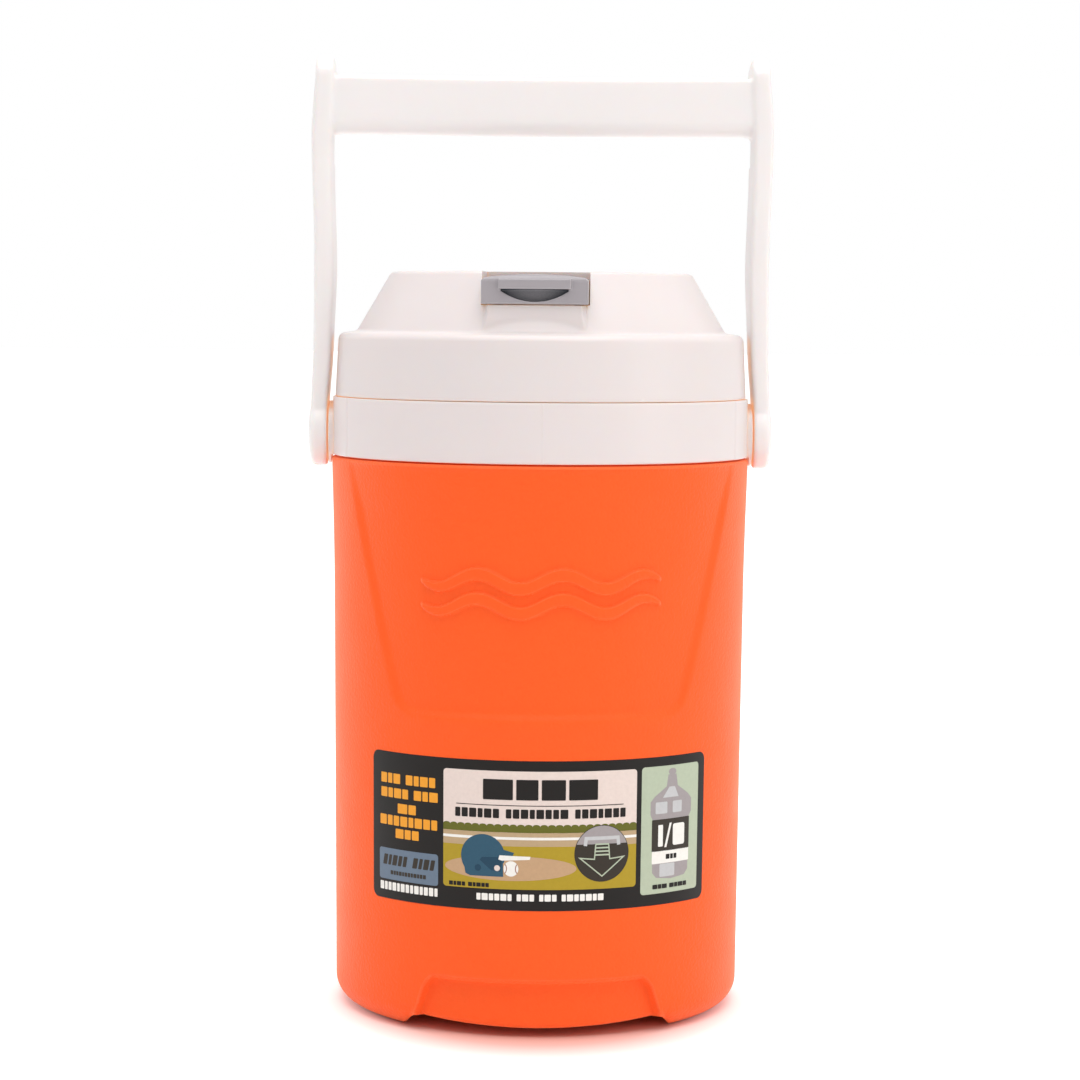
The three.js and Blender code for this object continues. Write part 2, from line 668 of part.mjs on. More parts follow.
// The cap's front outline, with a crowned top edge, carried from front to rear. An inset one is the hollow.
function capBlock(inset) {
  const half = CAP.half - inset;
  const hollow = inset > 0;
  const bottomZ = hollow ? CAP.bottomZ - 1 : CAP.bottomZ;
  const edgeZ = hollow ? CAP.edgeZ - CAP.skin : CAP.edgeZ;
  const crownZ = 2 * CAP.topZ - 2 * CAP.edgeZ + edgeZ;
  const outline = new THREE.Shape();
  outline.moveTo(-half, bottomZ);
  outline.lineTo(half, bottomZ);
  outline.lineTo(half, edgeZ - EDGE);
  outline.lineTo(half - EDGE, edgeZ);
  outline.quadraticCurveTo(0, crownZ, -half + EDGE, edgeZ);
  outline.lineTo(-half, edgeZ - EDGE);
  outline.closePath();
  const frontY = CAP.frontY + inset;
  const depth = (hollow ? CAP.rearY + 3 : CAP.rearY) - frontY;
  const geometry = new THREE.ExtrudeGeometry(outline, { depth, bevelEnabled: false, curveSegments: 10 });
  return toSolid(geometry.rotateX(Math.PI / 2).translate(0, frontY + depth, 0));
}

// A shallow scoop under the thumb tab, where a finger gets behind it.
function fingerScoop() {
  const { half, radius, depth, rise } = SCOOP;
  const middleZ = (CAP.bottomZ + TAB.bottomZ) / 2 + rise;
  const band = box(-half, half, CAP.frontY - 3, CAP.frontY + 3, SCOOP.bottomZ, TAB.bottomZ);
  return crossRod(radius, -half, half, CAP.frontY - radius + depth, middleZ).intersect(band);
}

function spoutCap() {
  const { y, z, knuckle, knuckleHalf, earOuter, earInner } = HINGE;
  const thumbTab = box(-TAB.half, TAB.half, CAP.frontY - TAB.reach, CAP.frontY + 1, TAB.bottomZ, CAP.edgeZ);
  const hingeBlock = box(-knuckleHalf, knuckleHalf, y - knuckle, y + knuckle, z, CAP.edgeZ - 0.5);
  const barrel = crossRod(knuckle, -knuckleHalf, knuckleHalf, y, z);
  const rearRelief = box(-BEYOND, BEYOND, y, y + 20, CAP.bottomZ - 2, z - knuckle + 0.2);
  const earRelief = [[-earOuter - GAP, -earInner + GAP], [earInner - GAP, earOuter + GAP]]
    .map(([x0, x1]) => crossRod(knuckle, x0, x1, y, z));
  const pinHole = crossRod(HINGE.pinHole, -BEYOND, BEYOND, y, z);
  const shell = cut(capBlock(0), capBlock(CAP.wall), fingerScoop(), rearRelief);
  return cut(join(shell, thumbTab, hingeBlock, barrel), ...earRelief, pinHole);
}

function capHingePin() {
  return crossRod(HINGE.pinRadius, -HINGE.earOuter, HINGE.earOuter, HINGE.y, HINGE.z);
}

function capSeal() {
  const topZ = CAP.edgeZ - CAP.skin - GAP;
  const seatZ = SPOUT.rimZ + GAP;
  const { stemRadius, seatRadius, discRadius } = SEAL;
  const plug = [[0, seatZ - 1], [stemRadius, seatZ - 1], [seatRadius, seatZ]];
  const disc = [[discRadius, seatZ], [discRadius, topZ], [0, topZ]];
  return toSolid(lathe([...plug, ...disc], SPOUT.segments).translate(0, SPOUT.y, 0));
}

// ---- assembly ----

function finish(color, roughness, metalness = 0) {
  return new THREE.MeshStandardMaterial({ color, roughness, metalness });
}

function piece(name, shape, material) {
  const geometry = shape.isBufferGeometry ? shape : toGeometry(shape);
  geometry.computeVertexNormals();
  const mesh = new THREE.Mesh(geometry, material);
  mesh.name = name;
  return mesh;
}

const jug = new THREE.Group();
jug.add(
  piece("outer_shell", outerShell(), finish(0xff6a2e, 0.55)),
  piece("base_plug", basePlug(), finish(0xff6a2e, 0.6)),
  piece("foam_insulation", foamInsulation(), finish(0xf3e6b8, 0.95)),
  piece("inner_liner", innerLiner(), finish(0xf4f3f0, 0.35)),
  piece("collar", collar(), finish(0xf1eeeb, 0.4)),
  piece("label", label(), finish(0x231f1d, 0.35)),
  piece("handle", handle(), finish(0xf3f1ee, 0.4)),
);

const lid = new THREE.Group();
lid.rotation.z = LID_CLOCK;
lid.add(
  piece("lid_gasket", lidGasket(), finish(0xd9d6cf, 0.7)),
  piece("lid_outer", lidOuter(), finish(0xf1eeeb, 0.4)),
  piece("lid_inner", lidInner(), finish(0xf4f3f0, 0.4)),
  piece("lid_foam", lidFoam(), finish(0xf3e6b8, 0.95)),
  piece("drinking_spout", drinkingSpout(), finish(0xf1eeeb, 0.35)),
  piece("spout_cap", spoutCap(), finish(0x9ea3a8, 0.45)),
  piece("cap_hinge_pin", capHingePin(), finish(0xc9cbcd, 0.25, 1)),
  piece("cap_seal", capSeal(), finish(0xe4e1da, 0.7)),
);
jug.add(lid);

export default jug;
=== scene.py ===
import json
import math

import bmesh
import bpy
import numpy as np
from mathutils import Matrix, Vector


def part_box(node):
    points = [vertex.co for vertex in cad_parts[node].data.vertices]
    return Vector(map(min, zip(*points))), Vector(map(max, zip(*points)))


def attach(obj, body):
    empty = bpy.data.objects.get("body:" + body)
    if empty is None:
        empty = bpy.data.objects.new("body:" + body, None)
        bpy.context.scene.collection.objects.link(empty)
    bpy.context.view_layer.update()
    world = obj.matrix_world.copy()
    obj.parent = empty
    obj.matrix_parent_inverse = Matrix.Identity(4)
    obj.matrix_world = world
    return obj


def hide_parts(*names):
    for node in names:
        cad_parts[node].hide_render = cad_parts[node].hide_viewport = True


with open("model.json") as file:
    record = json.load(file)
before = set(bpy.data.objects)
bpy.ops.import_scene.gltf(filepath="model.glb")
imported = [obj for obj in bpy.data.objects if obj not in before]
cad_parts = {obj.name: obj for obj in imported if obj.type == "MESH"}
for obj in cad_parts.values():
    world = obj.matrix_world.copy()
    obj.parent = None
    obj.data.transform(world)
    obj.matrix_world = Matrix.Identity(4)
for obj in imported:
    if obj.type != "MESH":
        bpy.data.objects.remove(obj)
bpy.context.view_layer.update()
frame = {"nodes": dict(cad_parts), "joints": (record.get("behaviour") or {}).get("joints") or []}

# An insulated drinking jug. Lengths are millimetres until a mesh is made, then metres, as the frame is.
# The front is -Y. An angle round the jug is measured from the front towards +X.
MM = 0.001


def frame_box(node):
    """The CAD node's lowest and highest corners, in millimetres."""
    low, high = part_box(node)
    return np.array(low) / MM, np.array(high) / MM


SHELL_HIGH = frame_box("outer_shell")[1]
COLLAR_HIGH = frame_box("collar")[1]
LABEL_LOW, LABEL_HIGH = frame_box("label")
LID_LOW, LID_HIGH = frame_box("lid_outer")
JOINTS = {joint["name"]: joint for joint in frame["joints"]}
PIVOT_Z = JOINTS["handle_swing"]["pos_m"][2] / MM
CAP_AXIS = JOINTS["cap_flip"]["axis"]
LID_CLOCK = math.atan2(-CAP_AXIS[1], -CAP_AXIS[0])
HINGE_Y = -math.hypot(*JOINTS["cap_flip"]["pos_m"][:2]) / MM
HINGE_Z = JOINTS["cap_flip"]["pos_m"][2] / MM

# ---- driving dimensions ----

FOOT_RADIUS = 71.3
DRAFT_RADIUS = 72.8
SHOULDER_RADIUS = 73.5
FLARE_Z = 149.0
SHOULDER_Z = 193.0
RIM_Z = SHELL_HIGH[2]
NECK_RADIUS = 70.2
CORNER = 9.0
BASE_Z = 4.6
FOOT_INNER = 54.0
PLUG_HOLE = 9.3
WALL = 2.2

NOTCH_TOP, NOTCH_TOP_HALF, NOTCH_DEPTH = 20.6, 32.0, 3.3
LIP_Z, LIP_BOW, LIP_BOW_POWER, LIP_HALF = 3.1, 1.8, 1.7, 36.8
LIP_END_X, FOOT_END_X = 41.6, 45.7
START_WALL = 9.6
PANEL_BOTTOM, PANEL_WIDE_Z, PANEL_DEPTH = 107.8, 178.0, 1.3
PANEL_LOWER_HALF, PANEL_UPPER_HALF = 42.2, 60.8
WAVE_Z, WAVE_HALF, WAVE_LENGTH, WAVE_RISE = 150.4, 44.0, 29.3, 2.4
WAVE_OFFSET, WAVE_HALF_WIDTH, WAVE_PROUD = 4.1, 2.2, 1.1

COLLAR_RADIUS = COLLAR_HIGH[1]
COLLAR_INNER, COLLAR_BORE = 70.6, 62.0
COLLAR_BOTTOM, FLANGE_Z = 193.6, 211.6
COLLAR_TOP = COLLAR_HIGH[2]
BOSS_FACE, BOSS_RADIUS = COLLAR_HIGH[0], 11.0
PIN_RADIUS, PIN_HOLE, PIN_END = 5.0, 5.3, 70.9
DISC_FACE, DISC_RADIUS = 75.0, 11.9

BRIM_BOTTOM = LID_LOW[2] - 0.2
BRIM_TOP = 236.2
BRIM_BOTTOM_RADIUS = 72.4
BRIM_TOP_RADIUS = 71.3
CROWN_BASE_RADIUS, CROWN_BASE_Z = 64.9, 237.1
CROWN_TOP_RADIUS, CROWN_TOP_Z = 52.9, 257.7
CROWN_CENTRE_Z = LID_HIGH[2]
TRAY_Z, TRAY_HALF, TRAY_REAR = 246.2, 18.25, -18.6
NECK_HALF, NECK_FOOT_HALF, NECK_FRONT = 16.3, 17.4, 62.2
SPOUT_Y, SPOUT_HOLE, CAP_BORE = -44.0, 9.8, 1.75


# ---- meshes ----

def make_object(name, vertices, faces, sharp_angle=40):
    """A smooth-shaded mesh object from points in millimetres."""
    mesh = bpy.data.meshes.new(name)
    mesh.from_pydata((np.asarray(vertices, float) * MM).tolist(), [], faces)
    mesh.update()
    obj = add_object(name, mesh)
    shade(obj, sharp_angle)
    return obj


def add_object(name, data):
    obj = bpy.data.objects.new(name, data)
    bpy.context.scene.collection.objects.link(obj)
    return obj


def shade(obj, sharp_angle):
    obj.data.shade_smooth()
    obj.data.set_sharp_from_angle(angle=math.radians(sharp_angle))


def grid_faces(rows, columns, wrap_rows=False):
    """Quads over closed rows of points stored row by row."""
    row_count = rows if wrap_rows else rows - 1
    r, c = np.meshgrid(np.arange(row_count), np.arange(columns), indexing="ij")
    r_next, c_next = (r + 1) % rows, (c + 1) % columns
    corners = [(r, c), (r, c_next), (r_next, c_next), (r_next, c)]
    return np.stack([row * columns + column for row, column in corners], -1).reshape(-1, 4).tolist()


def loft(name, rings):
    """A closed solid through matching rings of points, each anticlockwise seen from the far end."""
    rings = np.asarray(rings, float)
    rows, count = rings.shape[:2]
    faces = grid_faces(rows, count)
    faces.append(list(range(count))[::-1])
    faces.append([(rows - 1) * count + c for c in range(count)])
    return make_object(name, rings.reshape(-1, 3), faces)


def prism_along_x(name, outline, x0, x1):
    """A closed (y, z) outline, anticlockwise seen from +X, carried from x0 to x1."""
    return loft(name, [np.insert(outline, 0, x, axis=1) for x in (x0, x1)])


def prism_along_y(name, outline, y0, y1):
    """A closed (x, z) outline, anticlockwise seen from the front, carried from y1 forward to y0."""
    return loft(name, [np.insert(outline, 1, y, axis=1) for y in (y1, y0)])


def both_sides(near, far):
    """A stretch along X on the left of the middle, and the same on the right."""
    return (-far, -near), (near, far)


def turn_points(radius, angle, z):
    """Points at an angle round the jug, as an array of x, y, z."""
    return np.stack([radius * np.sin(angle), -radius * np.cos(angle), z + 0 * angle], -1)


def revolve(name, profile, columns=192, sharp_angle=40):
    """A closed profile of [radius, height] points, anticlockwise, turned about the axis."""
    profile = np.asarray(profile, float)
    angle = np.linspace(0, 2 * math.pi, columns, endpoint=False)
    on_axis = profile[0][0] < 1e-6
    body = profile[1:-1] if on_axis else profile
    points = turn_points(body[:, :1], angle[None, :], body[:, 1:])
    vertices = points.reshape(-1, 3)
    faces = grid_faces(len(body), columns, wrap_rows=not on_axis)
    if on_axis:
        low, high = len(vertices), len(vertices) + 1
        vertices = np.vstack([vertices, [0, 0, profile[0][1]], [0, 0, profile[-1][1]]])
        last = (len(body) - 1) * columns
        for c in range(columns):
            n = (c + 1) % columns
            faces.append([low, n, c])
            faces.append([high, last + c, last + n])
    return make_object(name, vertices, faces, sharp_angle)


def rounded(corners, step=0.8):
    """A profile through corners given as (radius, height, fillet), with each fillet as an arc."""
    points = []
    for before, here, after in zip(corners[-1:] + corners[:-1], corners, corners[1:] + corners[:1]):
        p = np.array(here[:2], float)
        fillet = here[2] if len(here) > 2 else 0
        back, ahead = np.array(before[:2], float) - p, np.array(after[:2], float) - p
        if not fillet:
            points.append(p)
            continue
        back, ahead = back / np.linalg.norm(back), ahead / np.linalg.norm(ahead)
        half = math.acos(max(-1.0, min(1.0, float(back @ ahead)))) / 2
        reach = fillet / math.tan(half)
        centre = p + (back + ahead) / np.linalg.norm(back + ahead) * fillet / math.sin(half)
        start, end = p + back * reach - centre, p + ahead * reach - centre
        count = max(3, int(fillet * (math.pi - 2 * half) / step) + 2)
        for t in np.linspace(0, 1, count):
            spoke = start * (1 - t) + end * t
            points.append(centre + spoke / np.linalg.norm(spoke) * fillet)
    return np.array(points)


def filled(profile, longest):
    """The same profile with extra points, so that no stretch is longer than the given length."""
    out = []
    for a, b in zip(profile[:-1], profile[1:]):
        count = max(1, math.ceil(float(np.linalg.norm(b - a)) / longest))
        out.extend(a + (b - a) * t for t in np.linspace(0, 1, count, endpoint=False))
    out.append(profile[-1])
    return np.array(out)


def box_object(name, low, high):
    """A plain block, used only to cut or build up other pieces."""
    (x0, y0, z0), (x1, y1, z1) = low, high
    corners = [(x, y, z) for z in (z0, z1) for x, y in ((x0, y0), (x1, y0), (x1, y1), (x0, y1))]
    faces = [[3, 2, 1, 0], [4, 5, 6, 7], [0, 1, 5, 4], [1, 2, 6, 5], [2, 3, 7, 6], [3, 0, 4, 7]]
    return make_object(name, corners, faces)


def rod_object(name, radius, low, high, axis="z", centre=(0, 0, 0), columns=64, bevel=0.0):
    """A short round bar along Z or X, optionally with rounded ends."""
    corners = [(0, low), (radius, low, bevel), (radius, high, bevel), (0, high)]
    obj = revolve(name, rounded(corners, 0.3), columns)
    if axis == "x":
        obj.data.transform(Matrix.Rotation(math.pi / 2, 4, "Y"))
    obj.data.transform(Matrix.Translation(Vector(centre) * MM))
    return obj


def pivot_rod(name, radius, low, high, columns=64, bevel=0.0):
    return rod_object(name, radius, low, high, "x", (0, 0, PIVOT_Z), columns, bevel)


def hinge_rod(name, radius, low, high, columns=32, bevel=0.0):
    return rod_object(name, radius, low, high, "x", (0, HINGE_Y, HINGE_Z), columns, bevel)


def apply_modifiers(obj):
    depsgraph = bpy.context.evaluated_depsgraph_get()
    mesh = bpy.data.meshes.new_from_object(obj.evaluated_get(depsgraph), depsgraph=depsgraph)
    obj.modifiers.clear()
    old = obj.data
    obj.data = mesh
    mesh.name = obj.name
    bpy.data.meshes.remove(old)


def boolean(obj, operation, *tools):
    """Joins or cuts the object with each tool, which is used up."""
    for tool in tools:
        modifier = obj.modifiers.new("cut", "BOOLEAN")
        modifier.operation = operation
        modifier.solver = "MANIFOLD"
        modifier.object = tool
        apply_modifiers(obj)
        bpy.data.objects.remove(tool)
    return obj


def remesh(obj, voxel, smoothing, factor=0.5):
    """Blends the joined solids into one moulded skin, with soft fillets where they meet."""
    modifier = obj.modifiers.new("skin", "REMESH")
    modifier.mode = "VOXEL"
    modifier.voxel_size = voxel * MM
    modifier.use_smooth_shade = True
    soften = obj.modifiers.new("soften", "SMOOTH")
    soften.factor = factor
    soften.iterations = smoothing
    apply_modifiers(obj)
    obj.data.shade_smooth()
    return obj


def smoothstep(x):
    x = np.clip(x, 0, 1)
    return x * x * (3 - 2 * x)


def rounded_corner(a, b, radius):
    """Signed distance to the overlap of two half planes, with a rounded corner between them."""
    a, b = a + radius, b + radius
    return np.minimum(np.maximum(a, b), 0) + np.hypot(np.maximum(a, 0), np.maximum(b, 0)) - radius


def place(obj, body, node, material):
    """Finishes a visible piece: it rides on its body, stands for its CAD node and takes its material."""
    obj.data.materials.clear()
    obj.data.materials.append(material)
    if node:
        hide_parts(node)
    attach(obj, body)
    return obj


def clock(obj):
    """Turns a lid piece, built straight ahead, to where the tightened lid stops."""
    obj.data.transform(Matrix.Rotation(LID_CLOCK, 4, "Z"))
    return obj


# ---- materials ----

def new_material(name):
    material = bpy.data.materials.new(name)
    material.use_nodes = True
    return material, material.node_tree


def set_inputs(tree, node, inputs):
    """Gives a node's inputs their values. A value that is another node's output is linked."""
    for key, value in inputs.items():
        socket = node.inputs[key]
        if isinstance(value, bpy.types.NodeSocket):
            tree.links.new(value, socket)
        elif socket.type == "RGBA":
            socket.default_value = (*value, 1)
        else:
            socket.default_value = value


def add_node(tree, kind, inputs=None, **settings):
    node = tree.nodes.new("ShaderNode" + kind)
    for name, value in settings.items():
        setattr(node, name, value)
    set_inputs(tree, node, inputs or {})
    return node


def object_coordinates(tree, scale=(1, 1, 1)):
    vector = add_node(tree, "TexCoord").outputs["Object"]
    return add_node(tree, "Mapping", {"Vector": vector, "Scale": scale}).outputs["Vector"]


def noise(tree, vector, scale, detail=2.0, roughness=0.5):
    inputs = {"Vector": vector, "Scale": scale, "Detail": detail, "Roughness": roughness}
    return add_node(tree, "TexNoise", inputs).outputs["Fac"]


def remap(tree, value, low, high, from_low=0.0, from_high=1.0):
    inputs = {"Value": value, "From Min": from_low, "From Max": from_high, "To Min": low, "To Max": high}
    return add_node(tree, "MapRange", inputs).outputs["Result"]


def blend_colours(tree, factor, first, second):
    return add_node(tree, "Mix", {0: factor, 6: first, 7: second}, data_type="RGBA").outputs[2]


def maths(tree, operation, first, second):
    return add_node(tree, "Math", {0: first, 1: second}, operation=operation).outputs[0]


def bump(tree, height, strength, distance, normal=None):
    inputs = {"Height": height, "Strength": strength, "Distance": distance}
    if normal:
        inputs["Normal"] = normal
    return add_node(tree, "Bump", inputs).outputs["Normal"]


def edge_wear(tree):
    """High on outside edges and low elsewhere."""
    pointiness = add_node(tree, "NewGeometry").outputs["Pointiness"]
    return remap(tree, pointiness, 0, 1, 0.52, 0.6)


def painted_shading_in_hollows(tree, colour, tone, reach):
    """The colour, turning to a painted tone of shade or light in hollows up to the given depth, where ambient
    occlusion finds shade, and how hollow a point is.
    """
    occlusion = add_node(tree, "AmbientOcclusion", {"Distance": reach}, samples=6)
    hollow = remap(tree, occlusion.outputs["AO"], 1, 0, 0.25, 0.75)
    return blend_colours(tree, hollow, colour, tone), hollow


def moulded_plastic(
        name, colour, worn, roughness, grain_scale, grain_height, blotch=0.03, glow=0.0, ior=1.46,
        painted_hollow_shading=None, reach=0.006, painted_gap_glow=0.0, sheen=0.0):
    """Moulded plastic: slight colour drift, a fine grain, uneven gloss, paler edges, and painted shading in
    hollows that can also glow.
    """
    material, tree = new_material(name)
    shader = tree.nodes["Principled BSDF"]
    vector = object_coordinates(tree)
    darker = tuple(c * (1 - blotch) for c in colour)
    lighter = tuple(min(1, c * (1 + blotch)) for c in colour)
    base = blend_colours(tree, noise(tree, vector, 22, 3), darker, lighter)
    worn_mask = maths(tree, "MULTIPLY", edge_wear(tree), noise(tree, vector, 260, 4, 0.65))
    base = blend_colours(tree, worn_mask, base, worn)
    # Painted light and shade: hollows found by ambient occlusion take a painted tone, and can glow with it as
    # painted bounce light.
    if painted_hollow_shading:
        base, hollow = painted_shading_in_hollows(tree, base, painted_hollow_shading, reach)
        light = remap(tree, hollow, 0, painted_gap_glow)
        set_inputs(tree, shader, {"Emission Color": painted_hollow_shading, "Emission Strength": light})
    grain = noise(tree, vector, grain_scale, 2, 0.55)
    sink = bump(tree, noise(tree, vector, 35, 1), 0.12, 0.0006)
    set_inputs(tree, shader, {
        "Base Color": base,
        "Roughness": remap(tree, noise(tree, vector, 60, 4), roughness - 0.06, roughness + 0.06),
        "Normal": bump(tree, grain, 1.0, grain_height * MM, sink),
        "IOR": ior,
        "Sheen Weight": sheen, "Sheen Roughness": 0.45, "Sheen Tint": (1.0, 0.72, 0.4),
        "Subsurface Weight": glow, "Subsurface Scale": 0.004, "Subsurface Radius": (1.0, 0.45, 0.25),
    })
    return material


def printed_ink(name, colour, roughness=0.34):
    """Ink under a clear film: a faint dither in tone, a slight orange peel and even gloss."""
    material, tree = new_material(name)
    vector = object_coordinates(tree)
    darker, lighter = tuple(c * 0.93 for c in colour), tuple(min(1, c * 1.06) for c in colour)
    set_inputs(tree, tree.nodes["Principled BSDF"], {
        "Base Color": blend_colours(tree, noise(tree, vector, 900, 2), darker, lighter),
        "Roughness": remap(tree, noise(tree, vector, 90, 3), roughness - 0.05, roughness + 0.05),
        "Normal": bump(tree, noise(tree, vector, 240, 1), 0.25, 0.0001),
        "Specular IOR Level": 0.2,
    })
    return material


def drawn_steel(name):
    """Bright wire with fine marks round it."""
    material, tree = new_material(name)
    marks = noise(tree, object_coordinates(tree, (40, 1, 1)), 300, 4)
    set_inputs(tree, tree.nodes["Principled BSDF"], {
        "Base Color": blend_colours(tree, marks, (0.45, 0.45, 0.47), (0.7, 0.7, 0.72)),
        "Roughness": remap(tree, marks, 0.2, 0.4),
        "Metallic": 1,
    })
    return material


def rigid_foam(name):
    """Cream foam with fine cells."""
    material, tree = new_material(name)
    cells = add_node(tree, "TexVoronoi", {"Vector": object_coordinates(tree), "Scale": 700})
    distance = cells.outputs["Distance"]
    set_inputs(tree, tree.nodes["Principled BSDF"], {
        "Base Color": blend_colours(tree, distance, (0.9, 0.84, 0.6), (0.78, 0.7, 0.45)),
        "Normal": bump(tree, distance, 0.6, 0.0004),
        "Roughness": 0.95,
    })
    return material


WORN_ORANGE = (1.0, 0.3, 0.14)
ORANGE = moulded_plastic(
    "orange_grained", (1.0, 0.108, 0.014), WORN_ORANGE, 0.5, 950, 0.26, 0.02, 0.12, 1.27, sheen=0.22)
ORANGE_PLUG = moulded_plastic("orange_smooth", (0.93, 0.12, 0.025), WORN_ORANGE, 0.4, 500, 0.02)
# Painted light: gaps and crevices in the white plastics get a warm pale tone and a faint glow, standing in
# for light bounced and scattered inside them.
PAINTED_WARM_GAP_LIGHT = {"painted_hollow_shading": (0.88, 0.56, 0.34), "reach": 0.003, "painted_gap_glow": 0.2}
WHITE = moulded_plastic(
    "white_moulded", (0.72, 0.66, 0.655), (0.8, 0.78, 0.77), 0.36, 420, 0.012, 0.008, 0.2, **PAINTED_WARM_GAP_LIGHT)
# Painted light: the handle takes a paler copy of the lid's white plastic, standing in for the stronger light
# it catches up top.
HANDLE_WHITE_PAINTED_BRIGHTER = moulded_plastic(
    "white_handle_painted_brighter", (0.81, 0.78, 0.775), (0.9, 0.88, 0.87), 0.34, 420, 0.012, 0.008, 0.2, **PAINTED_WARM_GAP_LIGHT)
LINER_WHITE = moulded_plastic("white_liner", (0.84, 0.83, 0.81), (0.9, 0.9, 0.89), 0.3, 300, 0.01, 0.01)
# Painted shade: the grey cap's hollows, such as the scoop under the thumb tab, are toned near black.
CAP_GREY = moulded_plastic(
    "grey_cap", (0.345, 0.32, 0.34), (0.52, 0.5, 0.51), 0.2, 700, 0.03, 0.02, painted_hollow_shading=(0.06, 0.07, 0.085))
SEAL = moulded_plastic("seal_rubber", (0.62, 0.61, 0.58), (0.7, 0.69, 0.66), 0.6, 600, 0.03, 0.03)
STEEL = drawn_steel("drawn_steel")
FOAM = rigid_foam("rigid_foam")
INK_COLOURS = {
    "black": (0.007, 0.005, 0.004),
    "cream": (0.74, 0.63, 0.58),
    "mint": (0.445, 0.51, 0.385),
    "bush": (0.118, 0.122, 0.013),
    "sand": (0.47, 0.34, 0.2),
    "chalk": (0.83, 0.82, 0.78),
    "grass": (0.4, 0.285, 0.02),
    "tan": (0.51, 0.33, 0.19),
    "blue": (0.026, 0.085, 0.137),
    "slate": (0.135, 0.185, 0.25),
    "yellow": (0.82, 0.34, 0.027),
    "navy": (0.012, 0.05, 0.09),
    "brick": (0.3, 0.12, 0.08),
    "grey": (0.34, 0.31, 0.315),
    "dark": (0.032, 0.025, 0.018),
    "mist": (0.52, 0.53, 0.54),
}
INKS = {name: printed_ink("ink_" + name, colour) for name, colour in INK_COLOURS.items()}


# ---- body shell ----

def body_radius(z):
    """Outer radius of the drafted wall, which flares a little more below the shoulder."""
    rise = (z - CORNER) / (SHOULDER_Z - CORNER)
    flare = np.clip((z - FLARE_Z) / (SHOULDER_Z - FLARE_Z), 0, 1) ** 1.5
    return FOOT_RADIUS + (DRAFT_RADIUS - FOOT_RADIUS) * rise + (SHOULDER_RADIUS - DRAFT_RADIUS) * flare


def spread(stops):
    """Values from stop to stop, at each stretch's own spacing: [start, (spacing, end), ...]."""
    values = [stops[0]]
    for spacing, end in stops[1:]:
        count = max(1, round(abs(end - values[-1]) / spacing))
        values.extend(np.linspace(values[-1], end, count + 1)[1:])
    return np.array(values)


def front_to_back_angles():
    """Angles round the body, closer together over the front's raised motif and the arches' ends."""
    half = spread([0, (0.36, 40), (0.8, 66), (1.3, 138), (0.8, 180)])
    return np.radians(np.concatenate([half[:-1], 360 - half[:0:-1]]))


def from_nearest_face(angle):
    """The angle from the front or the back, whichever is nearer."""
    wrapped = np.abs((angle + math.pi) % (2 * math.pi) - math.pi)
    return np.minimum(wrapped, math.pi - wrapped)


def notch_side(angle, z):
    """Distance outside the arch's slanted side, negative within it."""
    slope = (LIP_HALF - NOTCH_TOP_HALF) / (NOTCH_TOP - LIP_Z - LIP_BOW)
    half = np.radians(NOTCH_TOP_HALF + (NOTCH_TOP - z) * slope)
    return FOOT_RADIUS * (from_nearest_face(angle) - half) * 0.93


def notch_depth(angle, z):
    """Depth of the arch's recess, which slopes in more gently from above than from its sides."""
    top_slope, corner, edge = 0.55, 3.4, 1.5
    distance = rounded_corner((z - NOTCH_TOP) * top_slope, notch_side(angle, z), corner)
    return NOTCH_DEPTH * smoothstep(-distance / edge)


def panel_depth(angle, z):
    """Depth of the broad recess, which widens and fades out upwards, less a faint ridge along its foot."""
    corner, edge, fade_height, ridge_height, ridge_width = 7.0, 2.8, 20, 0.35, 3.5
    climb = np.clip((z - PANEL_BOTTOM) / (PANEL_WIDE_Z - PANEL_BOTTOM), 0, 1.3)
    half = np.radians(PANEL_LOWER_HALF + (PANEL_UPPER_HALF - PANEL_LOWER_HALF) * climb)
    side = body_radius(z) * (from_nearest_face(angle) - half) * 0.95
    distance = rounded_corner(PANEL_BOTTOM - z, side, corner)
    fade = np.clip((SHOULDER_Z + 3 - z) / fade_height, 0, 1)
    ridge = ridge_height * np.exp(-((z - PANEL_BOTTOM + 2.0) / ridge_width) ** 2) * smoothstep(-side / 12)
    return PANEL_DEPTH * fade * smoothstep(-distance / edge) - ridge


def wave_height(angle, z):
    """Two raised ripples across the front panel, tapering out at both ends."""
    signed = (angle + math.pi) % (2 * math.pi) - math.pi
    u = signed * body_radius(z)
    phase = 2 * math.pi * u / WAVE_LENGTH
    slope = WAVE_RISE * 2 * math.pi / WAVE_LENGTH * np.cos(phase)
    half_width = WAVE_HALF_WIDTH * np.sqrt(np.clip(1 - (u / WAVE_HALF) ** 4, 0, 1))
    height = np.zeros_like(u)
    for offset in (-WAVE_OFFSET, WAVE_OFFSET):
        distance = np.abs(z - WAVE_Z - offset - WAVE_RISE * np.sin(phase)) / np.sqrt(1 + slope ** 2)
        height = np.maximum(height, smoothstep((half_width - distance) / 0.6 + 0.5))
    inside = smoothstep((WAVE_HALF - np.abs(u)) / 1.5)
    return WAVE_PROUD * height * inside


def quarter_arc(centre, radius, count):
    """Points up a lower outside corner, without its first."""
    turn = np.radians(np.linspace(-90, 0, count + 1))[1:, None]
    return centre + radius * np.hstack([np.cos(turn), np.sin(turn)])


